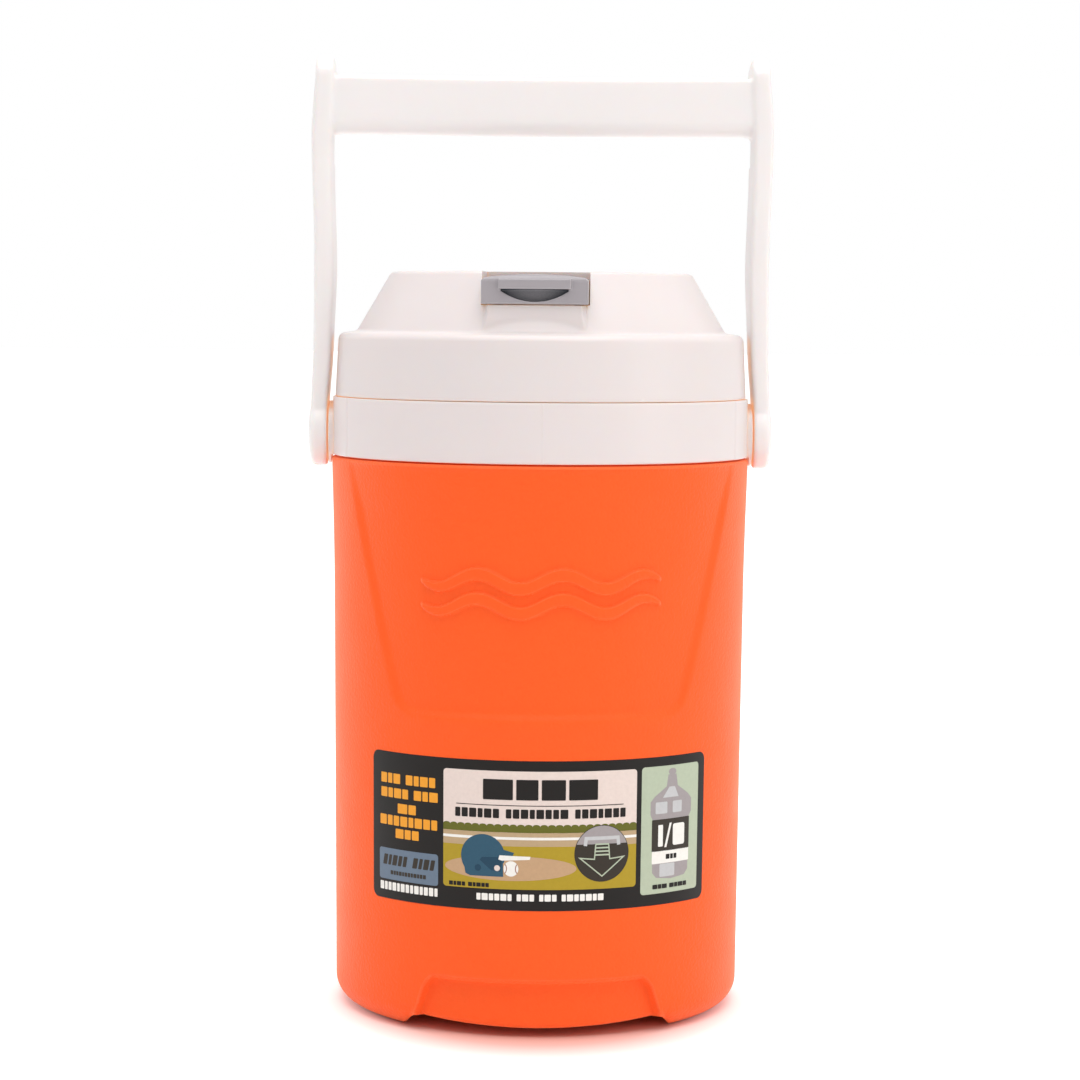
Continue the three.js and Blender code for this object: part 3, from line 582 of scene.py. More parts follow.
def foot_profiles():
    """Matched profiles from the base to the wall: over a foot, and over a lifted arch."""
    arch_corner, corner_rows, wall_rows = 2.0, 6, 10
    foot_centre = np.array([FOOT_RADIUS - CORNER, CORNER])
    arch_centre = np.array([FOOT_RADIUS - arch_corner, LIP_Z + arch_corner])
    sole = rounded([(FOOT_INNER - 4, BASE_Z), (FOOT_INNER, 0, 1.2), tuple(foot_centre - [0, CORNER])], 0.5)
    foot = np.vstack([filled(sole, 1.0), quarter_arc(foot_centre, CORNER, corner_rows + wall_rows)])
    wall_z = np.linspace(arch_centre[1], START_WALL, wall_rows + 1)[1:]
    under_rows = len(foot) - corner_rows - wall_rows
    arch = np.vstack([
        np.linspace([FOOT_INNER - 4, BASE_Z], arch_centre - [0, arch_corner], under_rows),
        quarter_arc(arch_centre, arch_corner, corner_rows),
        np.column_stack([np.full(wall_rows, FOOT_RADIUS), wall_z]),
    ])
    foot[-1, 1] = arch[-1, 1] = START_WALL
    return foot, arch


def lift_share(foot_radius, arch_radius, around):
    """How far to lift a ring of points from foot to arch, so that each foot ends on a plane along Y."""
    low, high = np.zeros_like(around), np.ones_like(around)
    for _ in range(14):
        share = (low + high) / 2
        across = (foot_radius + (arch_radius - foot_radius) * share) * np.sin(around)
        wanted = smoothstep((FOOT_END_X - across) / (FOOT_END_X - LIP_END_X))
        low, high = np.where(wanted > share, share, low), np.where(wanted > share, high, share)
    return low


def body_shell():
    """The body: its underside, feet, arches and recessed wall, then the rim and the inside."""
    angle = front_to_back_angles()
    foot, arch = foot_profiles()
    under = np.array([[PLUG_HOLE, BASE_Z + 0.5], [PLUG_HOLE + 0.5, BASE_Z], [FOOT_INNER - 4, BASE_Z]])
    rows = [turn_points(r, angle, z) for r, z in filled(under, 4.0)[:-1]]
    around = from_nearest_face(angle)
    bow = LIP_BOW * np.minimum(np.degrees(around) / LIP_HALF, 1) ** LIP_BOW_POWER
    for (foot_r, foot_z), (arch_r, arch_z) in zip(foot, arch):
        lifted = lift_share(foot_r, arch_r, around)
        radius = foot_r + (arch_r - foot_r) * lifted
        z = foot_z + (arch_z - foot_z) * lifted
        reach = smoothstep((radius - (FOOT_RADIUS - 12)) / 6)
        z = z + bow * lifted * reach * (START_WALL - z) / (START_WALL - LIP_Z)
        rows.append(turn_points(radius - notch_depth(angle, z) * reach, angle, z))
    stretches = [(0.6, 24), (2.2, 98), (0.7, 118), (1.5, 141), (0.42, 160), (1.8, 191.8)]
    for z in spread([START_WALL, *stretches])[1:]:
        depth = notch_depth(angle, z) + panel_depth(angle, z) - wave_height(angle, z)
        rows.append(turn_points(body_radius(z) - depth, angle, z))
    neck_inner, arch_inner = NECK_RADIUS - WALL, FOOT_RADIUS - NOTCH_DEPTH - WALL
    rest = rounded([
        (SHOULDER_RADIUS, 192), (SHOULDER_RADIUS, SHOULDER_Z, 0.9), (NECK_RADIUS, SHOULDER_Z),
        (NECK_RADIUS, RIM_Z, 0.5), (neck_inner, RIM_Z, 0.5), (neck_inner, SHOULDER_Z - 1.5),
        (SHOULDER_RADIUS - WALL, SHOULDER_Z - 5), (arch_inner, 24), (arch_inner, BASE_Z + WALL + 5),
        (FOOT_RADIUS - WALL - CORNER, BASE_Z + WALL), (PLUG_HOLE, BASE_Z + WALL),
    ], 0.4)[1:]
    rows.extend(turn_points(r, angle, z) for r, z in rest)
    faces = grid_faces(len(rows), len(angle), wrap_rows=True)
    return make_object("body_shell", np.stack(rows).reshape(-1, 3), faces, 50)


# ---- collar ----

def collar_ring():
    """The band and its flange, with a fine mould seam at the front and back, and pads at the pivots."""
    profile = filled(rounded([
        (COLLAR_INNER, COLLAR_BOTTOM, 0.2), (COLLAR_RADIUS, COLLAR_BOTTOM, 0.6),
        (COLLAR_RADIUS, COLLAR_TOP, 0.3), (COLLAR_BORE, COLLAR_TOP - 0.3, 0.3),
        (COLLAR_BORE, FLANGE_Z), (COLLAR_INNER, FLANGE_Z),
    ], 0.25), 1.6)
    half = spread([0, (0.15, 1.2), (1.0, 22), (0.25, 25), (1.0, 65), (0.25, 68), (1.0, 90)])
    quarter = np.concatenate([half, 180 - half[-2::-1]])
    angle = np.radians(np.concatenate([quarter[:-1], 360 - quarter[:0:-1]]))
    around = from_nearest_face(angle)
    seam_height, seam_width, pad_height, pad_start, pad_ramp = 0.09, 0.22, 0.32, 67, 1.1
    seam = seam_height * np.exp(-(around * COLLAR_RADIUS / seam_width) ** 2)
    pad = pad_height * smoothstep((np.radians(pad_start) - around) / np.radians(pad_ramp))
    rows = []
    for radius, z in profile:
        on_band = smoothstep((radius - (COLLAR_RADIUS - 1.2)) / 1.0)
        rows.append(turn_points(radius + (seam - pad) * on_band, angle, z))
    faces = grid_faces(len(rows), len(angle), wrap_rows=True)
    ring = make_object("collar_band", np.stack(rows).reshape(-1, 3), faces, 35)
    for low, high in both_sides(PIN_END, BOSS_FACE):
        boolean(ring, "UNION", pivot_rod("boss", BOSS_RADIUS, low, high, 96, 0.5))
    beyond = SHOULDER_RADIUS + 0.4
    clear = revolve("clear", [
        (0, 180), (beyond, 180), (beyond, COLLAR_BOTTOM), (COLLAR_INNER, COLLAR_BOTTOM),
        (COLLAR_INNER, FLANGE_Z), (0, FLANGE_Z),
    ], 360)
    boolean(ring, "DIFFERENCE", clear, pivot_rod("hole", PIN_HOLE, -90, 90))
    shade(ring, 35)
    return ring


# ---- handle ----

def smooth_curve(stations, z):
    """Each column of the stations as a smooth function of the first."""
    stations = np.asarray(stations, float)
    knots = stations[:, 0]
    slopes = np.gradient(stations[:, 1:], knots, axis=0)
    index = np.clip(np.searchsorted(knots, z) - 1, 0, len(knots) - 2)
    span = knots[index + 1] - knots[index]
    t = ((z - knots[index]) / span)[:, None]
    span = span[:, None]
    start, end = stations[index, 1:], stations[index + 1, 1:]
    hermite = (2 * t ** 3 - 3 * t ** 2 + 1) * start + (t ** 3 - 2 * t ** 2 + t) * span * slopes[index]
    return hermite + (3 * t ** 2 - 2 * t ** 3) * end + (t ** 3 - t ** 2) * span * slopes[index + 1]


# Up one arm: height, inner face, outer face, front edge and rear edge.
ARM = [
    (194, 75.0, 81.0, -8.6, 8.6), (206, 74.95, 80.95, -9.0, 9.0), (215, 74.55, 80.75, -8.8, 8.8),
    (225, 73.75, 80.25, -9.4, 9.4), (240, 73.1, 79.85, -10.9, 10.9), (258, 72.4, 79.75, -12.1, 12.1),
    (275, 72.8, 79.9, -12.6, 12.6), (288, 73.2, 80.4, -12.2, 12.2), (298, 73.25, 80.7, -11.8, 12.1),
    (307, 73.2, 80.75, -12.3, 12.8), (316, 73.0, 80.2, -12.8, 13.1), (325, 72.6, 79.45, -12.9, 13.1),
]
EAR_TOP = 333.1
ARM_SQUARENESS = 0.32


def arm(side):
    """One bowed arm with softly rounded edges and an ear that stands above the bar."""
    start, ear = ARM[0][0], ARM[-1][0]
    ear_height = EAR_TOP - ear
    dome = EAR_TOP - ear_height * np.cos(np.linspace(0, math.pi / 2, 14))[1:]
    heights = np.concatenate([np.linspace(start, ear, 90), dome])
    turn = np.linspace(0, 2 * math.pi, 48, endpoint=False)
    across, along = (np.sign(wave) * np.abs(wave) ** ARM_SQUARENESS for wave in (np.cos(turn), np.sin(turn)))
    rows = []
    for z, (inner, outer, front, rear) in zip(heights, smooth_curve(ARM, np.minimum(heights, ear))):
        shrink = math.sqrt(max(0.0, 1 - (max(0.0, z - ear) / (ear_height + 0.01)) ** 2.4))
        x = (inner + outer) / 2 + (outer - inner) / 2 * max(0.8, shrink ** 0.35) * across
        y = (front + rear) / 2 + (rear - front) / 2 * max(0.25, shrink) * along
        if side < 0:
            x, y = -x[::-1], y[::-1]
        rows.append(np.stack([x, y, np.full_like(x, z)], -1))
    return loft("arm", rows)


def handle_moulding():
    """Arms, bar, discs and pins as one moulding, with pockets and hook slots cut in, then softened."""
    bottom, top, front, rear, bar_end = 305.6, 325.5, -11.4, 2.4, 76.5
    outline = rounded([(front, bottom, 5.6), (rear, bottom, 2.2), (rear, top, 2.2), (front, top, 1.6)], 0.4)
    parts = [arm(-1), arm(1), prism_along_x("bar", outline, -bar_end, bar_end)]
    disc_profile = rounded([
        (0, DISC_FACE), (DISC_RADIUS, DISC_FACE, 0.6), (DISC_RADIUS, 80.6, 1.8), (6, 81.7, 6), (0, 81.75),
    ], 0.3)
    pin_profile = rounded([(0, PIN_END), (PIN_RADIUS, PIN_END, 0.8), (PIN_RADIUS, 77), (0, 77)], 0.3)
    for side in (-1, 1):
        for obj in (revolve("disc", disc_profile, 96), revolve("pin", pin_profile, 64)):
            obj.data.transform(Matrix.Rotation(side * math.pi / 2, 4, "Y"))
            obj.data.transform(Matrix.Translation((0, 0, PIVOT_Z * MM)))
            parts.append(obj)
    whole = boolean(parts[0], "UNION", *parts[1:])
    pocket_span, pockets, rib = 134.0, 5, 2.6
    pitch = pocket_span / pockets
    for i in range(pockets):
        left = -pocket_span / 2 + i * pitch + rib / 2
        boolean(whole, "DIFFERENCE", box_object(
            "pocket", (left, front + 4, bottom + 3), (left + pitch - rib, rear + 5, top - 3)))
    slot_y, slot_half, slot_bottom, slot_top, mouth_top = 6.0, 2.6, 296, 319.9, 305
    for x0, x1 in both_sides(71.5, 90):
        boolean(
            whole, "DIFFERENCE",
            box_object("slot", (x0, slot_y - slot_half, slot_bottom), (x1, slot_y + slot_half, slot_top)),
            box_object("mouth", (x0, slot_y - slot_half, slot_bottom), (x1, 25, mouth_top)),
            rod_object("bend", slot_half, x0, x1, "x", (0, slot_y, slot_top), 48),
        )
    whole.name = "carry_handle_moulding"
    return with_sag(remesh(whole, 0.62, 6))


def with_sag(handle):
    """The bar hangs a little lower in the middle than at its ends."""
    sag, bar_half, bar_foot = 0.5, 72, 296
    for vertex in handle.data.vertices:
        across = min(1.0, abs(vertex.co.x) / (bar_half * MM))
        on_bar = smoothstep((vertex.co.z / MM - bar_foot) / 8) * (1 - smoothstep((across - 0.97) / 0.03))
        vertex.co.z += sag * (across ** 2 - 0.5) * on_bar * MM
    return handle


# ---- lid ----

def lid_profile(inset):
    """Brim, deck, sloped crown and nearly flat top, from the outer bottom edge to the centre."""
    corners = [
        (BRIM_BOTTOM_RADIUS - inset, BRIM_BOTTOM, 0.25 if not inset else 0),
        (BRIM_TOP_RADIUS - inset, BRIM_TOP - inset, 2.8),
        (CROWN_BASE_RADIUS - inset, CROWN_BASE_Z - inset, 2.0),
        (CROWN_TOP_RADIUS - inset, CROWN_TOP_Z - inset, 2.2),
        (0, CROWN_CENTRE_Z - inset),
    ]
    start = [(BRIM_BOTTOM_RADIUS - inset - 1.5, BRIM_BOTTOM)]
    return filled(rounded(start + corners, 0.4)[0 if not inset else 1:], 1.3)


def lid_angles():
    half = spread([0, (0.9, 13), (0.3, 21), (1.0, 40), (1.5, 180)])
    return np.radians(np.concatenate([half[:-1], 360 - half[:0:-1]]))


def with_spout_neck(points, inset):
    """Pushes the front of the crown forward into the flat-faced neck under the cap."""
    x, y, z = points[..., 0], points[..., 1], points[..., 2]
    rise = np.clip((z - BRIM_TOP) / (TRAY_Z - BRIM_TOP), 0, 1)
    half = NECK_FOOT_HALF + (NECK_HALF - NECK_FOOT_HALF) * rise - inset
    across = smoothstep((half + 0.6 - np.abs(x)) / 1.5)
    above = smoothstep((z - (CROWN_BASE_Z - inset) + 0.6) / 1.4) * (z < TRAY_Z + 8)
    front = -NECK_FRONT + inset
    target = np.where((y > front) & (y < -30), front, y)
    points[..., 1] = y + (target - y) * across * above
    return points


def lid_solid(name, inset):
    """The lid as a solid. With an inset it is the hollow's shape, and reaches down past the brim."""
    profile, angle = lid_profile(inset), lid_angles()
    rows = with_spout_neck(np.stack([turn_points(r, angle, z) for r, z in profile[:-1]]), inset)
    floor_inset, floor_drop = (inset, 3.0) if inset else (3.0, 0.0)
    floor = turn_points(BRIM_BOTTOM_RADIUS - floor_inset, angle, BRIM_BOTTOM - floor_drop)
    points = np.vstack([floor, *rows, [[0, 0, profile[-1][1]]]])
    count, last = len(angle), len(rows) * len(angle)
    faces = grid_faces(len(rows) + 1, count)
    faces.append(list(range(count))[::-1])
    faces.extend([last + count, last + c, last + (c + 1) % count] for c in range(count))
    return make_object(name, points, faces)


def spout_hole(low, high):
    return rod_object("spout_hole", SPOUT_HOLE, low, high, "z", (0, SPOUT_Y, 0), 64)


def lid_shell():
    """The lid's outer moulding: hollow below, with a walled tray, hinge ears and holes for pin and spout."""
    outer, walls = lid_solid("lid_shell", 0), lid_solid("walls", 0)
    boolean(outer, "DIFFERENCE", lid_solid("inner", WALL))
    walls_half, above = TRAY_HALF + WALL, 270
    around_tray = box_object("tray", (-walls_half, -61, TRAY_Z - WALL), (walls_half, TRAY_REAR + WALL, above))
    boolean(outer, "UNION", boolean(walls, "INTERSECT", around_tray))
    boolean(outer, "DIFFERENCE", box_object("slot", (-TRAY_HALF, -90, TRAY_Z), (TRAY_HALF, TRAY_REAR, above)))
    ear_radius, ear_inner, ear_outer = 2.7, 12.2, 15.9
    for x0, x1 in both_sides(ear_inner, ear_outer):
        ear = box_object("ear", (x0, HINGE_Y - ear_radius, TRAY_Z - 1), (x1, HINGE_Y - 0.4, HINGE_Z))
        boolean(outer, "UNION", ear, hinge_rod("ear_top", ear_radius, x0, x1, 40))
    boolean(outer, "DIFFERENCE", hinge_rod("pin_hole", CAP_BORE, -16.4, 16.4), spout_hole(238, 250))
    shade(outer, 32)
    return clock(outer)


def round_over_front(obj, front, top, bend):
    """Rounds the upper front edge of part of the cap."""
    outline = rounded([(front, 240), (0, 240), (0, top), (front, top, bend)], 0.2)
    boolean(obj, "INTERSECT", prism_along_x("round_over", outline, -30, 30))


def spout_cap():
    """The grey cap: crowned top, thumb tab over a lens-shaped scoop, hollow underside and hinge barrel."""
    half, front, rear, bottom, edge, crest, below = 17.9, -63.55, -22.0, 246.55, 255.3, 256.55, 240
    across = np.linspace(half - 1.0, -half + 1.0, 25)
    top = [(x, edge + (crest - edge) * (1 - (x / half) ** 2)) for x in across]
    outline = [(-half, bottom), (half, bottom), (half, edge - 0.8), *top, (-half, edge - 0.8)]
    cap = prism_along_y("flip_cap_moulding", outline, front, rear)
    round_over_front(cap, front, crest, 3.0)
    tab_half, tab_bottom, tab_top, tab_front = 12.2, 251.6, 255.1, front - 1.55
    tab_outline = [(-tab_half, tab_bottom), (tab_half, tab_bottom), (tab_half, tab_top), (-tab_half, tab_top)]
    tab = prism_along_y("tab", tab_outline, tab_front, front + 4)
    round_over_front(tab, tab_front, tab_top, 0.7)
    lens_radius, lens_bottom, lens_depth = 19.3, 247.4, 5.0
    lens = rod_object("lens", lens_radius, front - 3, front + lens_depth, columns=128)
    lens.data.transform(Matrix.Rotation(math.pi / 2, 4, "X"))
    lens.data.transform(Matrix.Translation((0, 2 * front * MM, (lens_bottom + lens_radius) * MM)))
    boolean(lens, "INTERSECT", box_object("lens_box", (-13, front - 8, below), (13, front + 8, tab_bottom)))
    boolean(boolean(cap, "UNION", tab), "DIFFERENCE", lens)
    knuckle_half, knuckle_radius = 11.6, 3.1
    boolean(
        cap, "DIFFERENCE",
        box_object("hollow", (-half + 1.8, front + 6.2, below), (half - 1.8, rear + 5, edge - 2.1)),
        box_object("rear_relief", (-30, HINGE_Y, below), (30, HINGE_Y + 20, HINGE_Z - 2.9)),
    )
    block_low = (-knuckle_half, HINGE_Y - knuckle_radius, HINGE_Z)
    block_high = (knuckle_half, HINGE_Y + knuckle_radius, edge - 0.5)
    knuckle = hinge_rod("knuckle", knuckle_radius, -knuckle_half, knuckle_half, 48)
    boolean(cap, "UNION", box_object("knuckle_block", block_low, block_high), knuckle)
    for x0, x1 in both_sides(11.9, 16.2):
        boolean(cap, "DIFFERENCE", hinge_rod("ear_relief", knuckle_radius, x0, x1, 48))
    boolean(cap, "DIFFERENCE", hinge_rod("bore", CAP_BORE, -30, 30))
    return clock(remesh(cap, 0.25, 4))


# ---- pieces seen when the lid is off, or from below ----

THREAD_LEAD, THREAD_STARTS, THREAD_FIRST_Z = 12.0, 2, 218.5


def thread_ribs(inner, outer, first_z, turns):
    """The screw's starts, each a rib with tapering ends: (radius, width) at its inner and outer edge."""
    ribs = []
    for start in range(THREAD_STARTS):
        t = np.linspace(0, 1, 90)
        taper = np.minimum(1, np.minimum(t, 1 - t) / 0.05 + 0.12)
        angle = 2 * math.pi * (turns * t + start / THREAD_STARTS)
        z = first_z + THREAD_LEAD * turns * t
        (r0, w0), (r1, w1) = inner, outer
        if r1 > r0 and w1 < w0:
            radii = (np.full_like(t, r0), r0 + (r1 - r0) * taper)
        else:
            radii = (r1 + (r0 - r1) * taper, np.full_like(t, r1))
        corners = [(radii[0], w0 / 2), (radii[1], w1 / 2), (radii[1], -w1 / 2), (radii[0], -w0 / 2)]
        ribs.append(loft("thread", np.stack([turn_points(r, angle, z + dz) for r, dz in corners], 1)))
    return ribs


def liner():
    cup = revolve("liner_cup", filled(rounded([
        (0, 19.8), (53.2, 19.8, 7), (58.4, 203.3, 6), (59.2, 209.3), (70, 209.3, 0.3), (70, 211.3, 0.6),
        (59.5, 211.3, 0.8), (59.5, 229.6, 0.7), (57.2, 229.6, 0.7), (57.2, 208.3, 4), (56.2, 203.3),
        (51, 22, 6), (0, 22),
    ], 0.5), 8), 256)
    boolean(cup, "UNION", *thread_ribs((58.9, 2.7), (61.5, 1.4), THREAD_FIRST_Z, 0.7))
    shade(cup, 35)
    return cup


def lid_pan():
    pan = revolve("lid_pan", filled(rounded([
        (0, 232.2), (62.2, 232.2, 0.8), (62.2, 214.5, 0.4), (69.6, 214.5, 0.3), (69.6, 216.3, 0.3),
        (64.4, 216.3, 0.5), (64.4, 234, 0.8), (0, 234),
    ], 0.4), 8), 256)
    boolean(pan, "UNION", *thread_ribs((60.3, 1.4), (62.9, 2.7), THREAD_FIRST_Z + 3, 0.5))
    boolean(pan, "DIFFERENCE", spout_hole(230, 240))
    shade(pan, 35)
    return clock(pan)


def over_spout(obj):
    obj.data.transform(Matrix.Translation((0, SPOUT_Y * MM, 0)))
    return clock(obj)


def spout_tube():
    profile = rounded([
        (7.5, 232.2, 0.2), (9.5, 232.2, 0.2), (9.5, 246.5, 0), (12.5, 246.5, 0.2), (12.5, 247.7, 0.4),
        (9.5, 248.0, 0.8), (9.5, 250.6, 0.8), (7.5, 250.6, 0.8),
    ], 0.25)
    return over_spout(revolve("spout_tube", profile, 96))


def cap_plug():
    profile = rounded([
        (0, 249.9), (6.4, 249.9, 0.5), (6.8, 250.9, 0.1), (10.5, 250.9, 0.3), (10.5, 253.0, 0.3), (0, 253.0),
    ], 0.25)
    return over_spout(revolve("cap_plug", profile, 96))


def hinge_pin():
    return clock(hinge_rod("hinge_pin", 1.5, -15.9, 15.9, bevel=0.3))


def neck_gasket():
    return clock(revolve("neck_gasket", rounded([
        (57.2, 229.9, 0.4), (60.5, 229.9, 0.4), (60.5, 231.9, 0.4), (57.2, 231.9, 0.4)], 0.2), 192))


def base_bung():
    return revolve("base_bung", rounded([
        (0, 2.9), (4, 2.6, 2), (13, 2.6, 0.7), (13, 4.3, 0.2), (9, 4.3), (9, 6.8, 0.3), (0, 6.8)], 0.3), 96)


# ---- label ----

LABEL_BOTTOM, LABEL_TOP = LABEL_LOW[2], LABEL_HIGH[2]
LABEL_HALF = 51.7
LABEL_RADIUS = body_radius((LABEL_BOTTOM + LABEL_TOP) / 2)
LABEL_REACH = LABEL_RADIUS * math.radians(LABEL_HALF)
FILM, INK_STEP, INK_DEPTH, STRIP = 0.12, 0.02, 0.1, 1.5
PRINT_SHIFT = 0.5


def block(u0, u1, z0, z1, radius=0.0):
    """A box outline, anticlockwise, with rounded corners."""
    if not radius:
        return [(u0, z0), (u1, z0), (u1, z1), (u0, z1)]
    points = []
    for k in range(4):
        centre_u = u0 + radius if k in (0, 3) else u1 - radius
        centre_z = z0 + radius if k < 2 else z1 - radius
        for turn in math.pi + k * math.pi / 2 + np.linspace(0, math.pi / 2, 7):
            points.append((centre_u + radius * math.cos(turn), centre_z + radius * math.sin(turn)))
    return points


def oval(u, z, half_width, half_height, start=0, end=360, count=40):
    """An oval, or the part of one between two angles closed by its chord."""
    turn = np.radians(np.linspace(start, end, count + 1))
    if end - start >= 360:
        turn = turn[:-1]
    return [(u + half_width * math.cos(t), z + half_height * math.sin(t)) for t in turn]


def stroke(points, width):
    """A line of constant width through points, with mitred corners."""
    points = np.asarray(points, float)
    ahead = np.diff(points, axis=0)
    ahead /= np.linalg.norm(ahead, axis=1)[:, None]
    normals = np.column_stack([-ahead[:, 1], ahead[:, 0]])
    joined = np.vstack([normals[:1], normals[:-1] + normals[1:], normals[-1:]])
    joined /= np.linalg.norm(joined, axis=1)[:, None]
    scale = np.einsum("ij,ij->i", joined, np.vstack([normals[:1], normals]))
    side = joined / scale[:, None] * width / 2
    return [tuple(p) for p in np.vstack([points - side, (points + side)[::-1]])]


def greeked(u0, u1, z0, z1, words, lean=0.0):
    """A line of dummy text: each word is a run of plain blocks of uneven width."""
    height = z1 - z0
    gap, space = 0.16 * height, 0.75 * height
    widths = [[1.0 + 0.22 * math.sin(2.4 * k + 1.3 * len(words)) for k in range(n)] for n in words]
    free = (u1 - u0) - space * (len(words) - 1) - gap * sum(n - 1 for n in words)
    unit = free / sum(sum(word) for word in widths)
    out, u = [], u0
    for word in widths:
        for width in word:
            shape = block(u, u + width * unit, z0, z1, min(0.3, 0.12 * height))
            out.append([(x + (z - z0) * lean, z) for x, z in shape])
            u += width * unit + gap
        u += space - gap
    return out


def scalloped(u0, u1, z0, z1, count, bulge):
    """A strip with a row of round tufts along its top."""
    points = [(u0, z0), (u1, z0)]
    pitch = (u1 - u0) / count
    for k in range(count):
        centre = u1 - (k + 0.5) * pitch
        for t in np.linspace(0, math.pi, 7)[:-1]:
            points.append((centre + pitch / 2 * math.cos(t), z1 + bulge * math.sin(t)))
    return points + [(u0, z1)]


def cut_in_strips(sheet):
    """Cuts a flat sheet every few millimetres, so that it can bend round the body."""
    low, high = min(v.co.x for v in sheet.verts), max(v.co.x for v in sheet.verts)
    for cut in np.arange(math.floor(low / STRIP) * STRIP + STRIP, high, STRIP):
        everything = sheet.verts[:] + sheet.edges[:] + sheet.faces[:]
        bmesh.ops.bisect_plane(sheet, geom=everything, plane_co=(cut, 0, 0), plane_no=(1, 0, 0))


def thicken(sheet):
    """Turns a flat sheet at y = 0 into a slab whose back is at y = 1."""
    for face in sheet.faces:
        if face.normal.y > 0:
            face.normal_flip()
    extruded = bmesh.ops.extrude_face_region(sheet, geom=sheet.faces[:])
    for item in extruded["geom"]:
        if isinstance(item, bmesh.types.BMVert):
            item.co.y = 1
    bmesh.ops.recalc_face_normals(sheet, faces=sheet.faces[:])


def print_on(name, ink, layer, *outlines):
    """Prints outlines, each a list of (distance round from the front, height), as thin slabs on the body."""
    whole = bmesh.new()
    for outline in outlines:
        sheet = bmesh.new()
        sheet.faces.new([sheet.verts.new((u, 0, z)) for u, z in outline])
        sheet.normal_update()
        cut_in_strips(sheet)
        sheet.normal_update()
        thicken(sheet)
        mesh = bpy.data.meshes.new("sheet")
        sheet.to_mesh(mesh)
        sheet.free()
        whole.from_mesh(mesh)
        bpy.data.meshes.remove(mesh)
    surface = FILM + INK_STEP * layer
    shift = PRINT_SHIFT if layer else 0
    for vertex in whole.verts:
        u, back, z = vertex.co
        angle, radius = (u + shift) / LABEL_RADIUS, body_radius(z) + surface - INK_DEPTH * back
        vertex.co = Vector((radius * math.sin(angle), -radius * math.cos(angle), z)) * MM
    bmesh.ops.recalc_face_normals(whole, faces=whole.faces[:])
    mesh = bpy.data.meshes.new("label_" + name)
    whole.to_mesh(mesh)
    whole.free()
    obj = add_object("label_" + name, mesh)
    shade(obj, 30)
    return place(obj, "jug", None if layer else "label", INKS[ink])


def print_picture():
    """The centre panel: sky, hedge, playing field, track, chalk line, mound and dummy text; the domed helmet,
    ball and carry pictogram are printed separately.
    """
    left, right, low, high = -33.8, 33.4, 51.3, 91.2
    print_on("sky", "cream", 1, block(left, right, 66.0, high, 1.2))
    print_on("field", "grass", 2, block(left, right, low, 67.4, 1.2))
    print_on("track", "sand", 3, block(left, right, 65.9, 70.6))
    print_on("hedge", "bush", 3, scalloped(left, right, 70.5, 72.6, 26, 0.7))
    print_on("chalk_line", "chalk", 4, block(left, right, 68.1, 69.0))
    print_on("mound", "tan", 4, oval(-10.5, 58.4, 22.6, 4.2))
    print_on("title", "black", 4, *greeked(-19.6, 19.2, 81.5, 88.4, [4]), block(-29, 28.4, 79.5, 79.75))
    words = greeked(-29.4, 29.2, 75.3, 78.4, [6, 8, 7])
    print_on("words", "black", 4, *words, *greeked(-31.6, -17.4, 51.8, 53.2, [4, 5]))


def print_helmet():
    """A domed helmet with its peak, and a bat and ball beside it."""
    lower = [(-25.6, 56.2), (-24, 55.5), (-12.5, 55.5), (-12.6, 60)]
    shell = oval(-19.6, 62.3, 7.6, 7.4, -15, 212, 44) + lower
    peak = [(-18.5, 62.2), (-9.4, 62.6), (-8.9, 63.7), (-12.2, 64.6), (-17.5, 65.2)]
    print_on("helmet", "blue", 5, shell)
    print_on("helmet_peak", "blue", 6, peak)
    opening = [(-19.8, 62.0), (-20.6, 61.0), (-16.6, 57.6), (-13.4, 57.2), (-12.8, 62.2)]
    print_on("helmet_opening", "navy", 6, opening, oval(-21.2, 58.3, 1.15, 1.15, count=18))
    print_on("bat", "chalk", 7, [(-14.2, 61.4), (-13.0, 61.0), (-3.6, 61.5), (-3.4, 62.5), (-13.8, 62.8)])
    ball_u, ball_z = -9.9, 58.3
    print_on("ball", "chalk", 8, oval(ball_u, ball_z, 2.5, 2.6, count=28))
    seams = [
        oval(ball_u + side * 3.0, ball_z, 1.5, 2.0, start, start + 100, 10)
        for side, start in ((-1, -50), (1, 130))
    ]
    print_on("ball_seams", "brick", 9, *(stroke(seam, 0.3) for seam in seams))
    print_on("button", "cream", 7, oval(-14.6, 58.4, 1.0, 1.0, count=16))


def print_pictogram():
    """A dark disc with the jug's lid and handle, and an outlined arrow that points down."""
    u, z, radius = 20.9, 63.3, 9.6
    print_on("disc", "dark", 5, oval(u, z, radius, radius, count=60))
    print_on("disc_lid", "grey", 6, oval(u, z, radius - 0.2, radius - 0.2, 20, 160, 30))
    handle = stroke([(u - 5.9, 66.0), (u - 5.6, 68.5), (u + 5.6, 68.5), (u + 5.9, 66.0)], 1.2)
    print_on("disc_handle", "mist", 7, handle)
    half = [(2.3, 66.2), (2.7, 61.4), (7.7, 61.9)]
    outline = [(u + x, z) for x, z in half] + [(u, 55.6)] + [(u - x, z) for x, z in half[::-1]]
    stripes = [block(u - 2.4, u + 2.4, 62.6 + 1.2 * k, 63.1 + 1.2 * k) for k in range(4)]
    print_on("arrow", "mint", 8, stroke(outline, 0.4), *stripes)


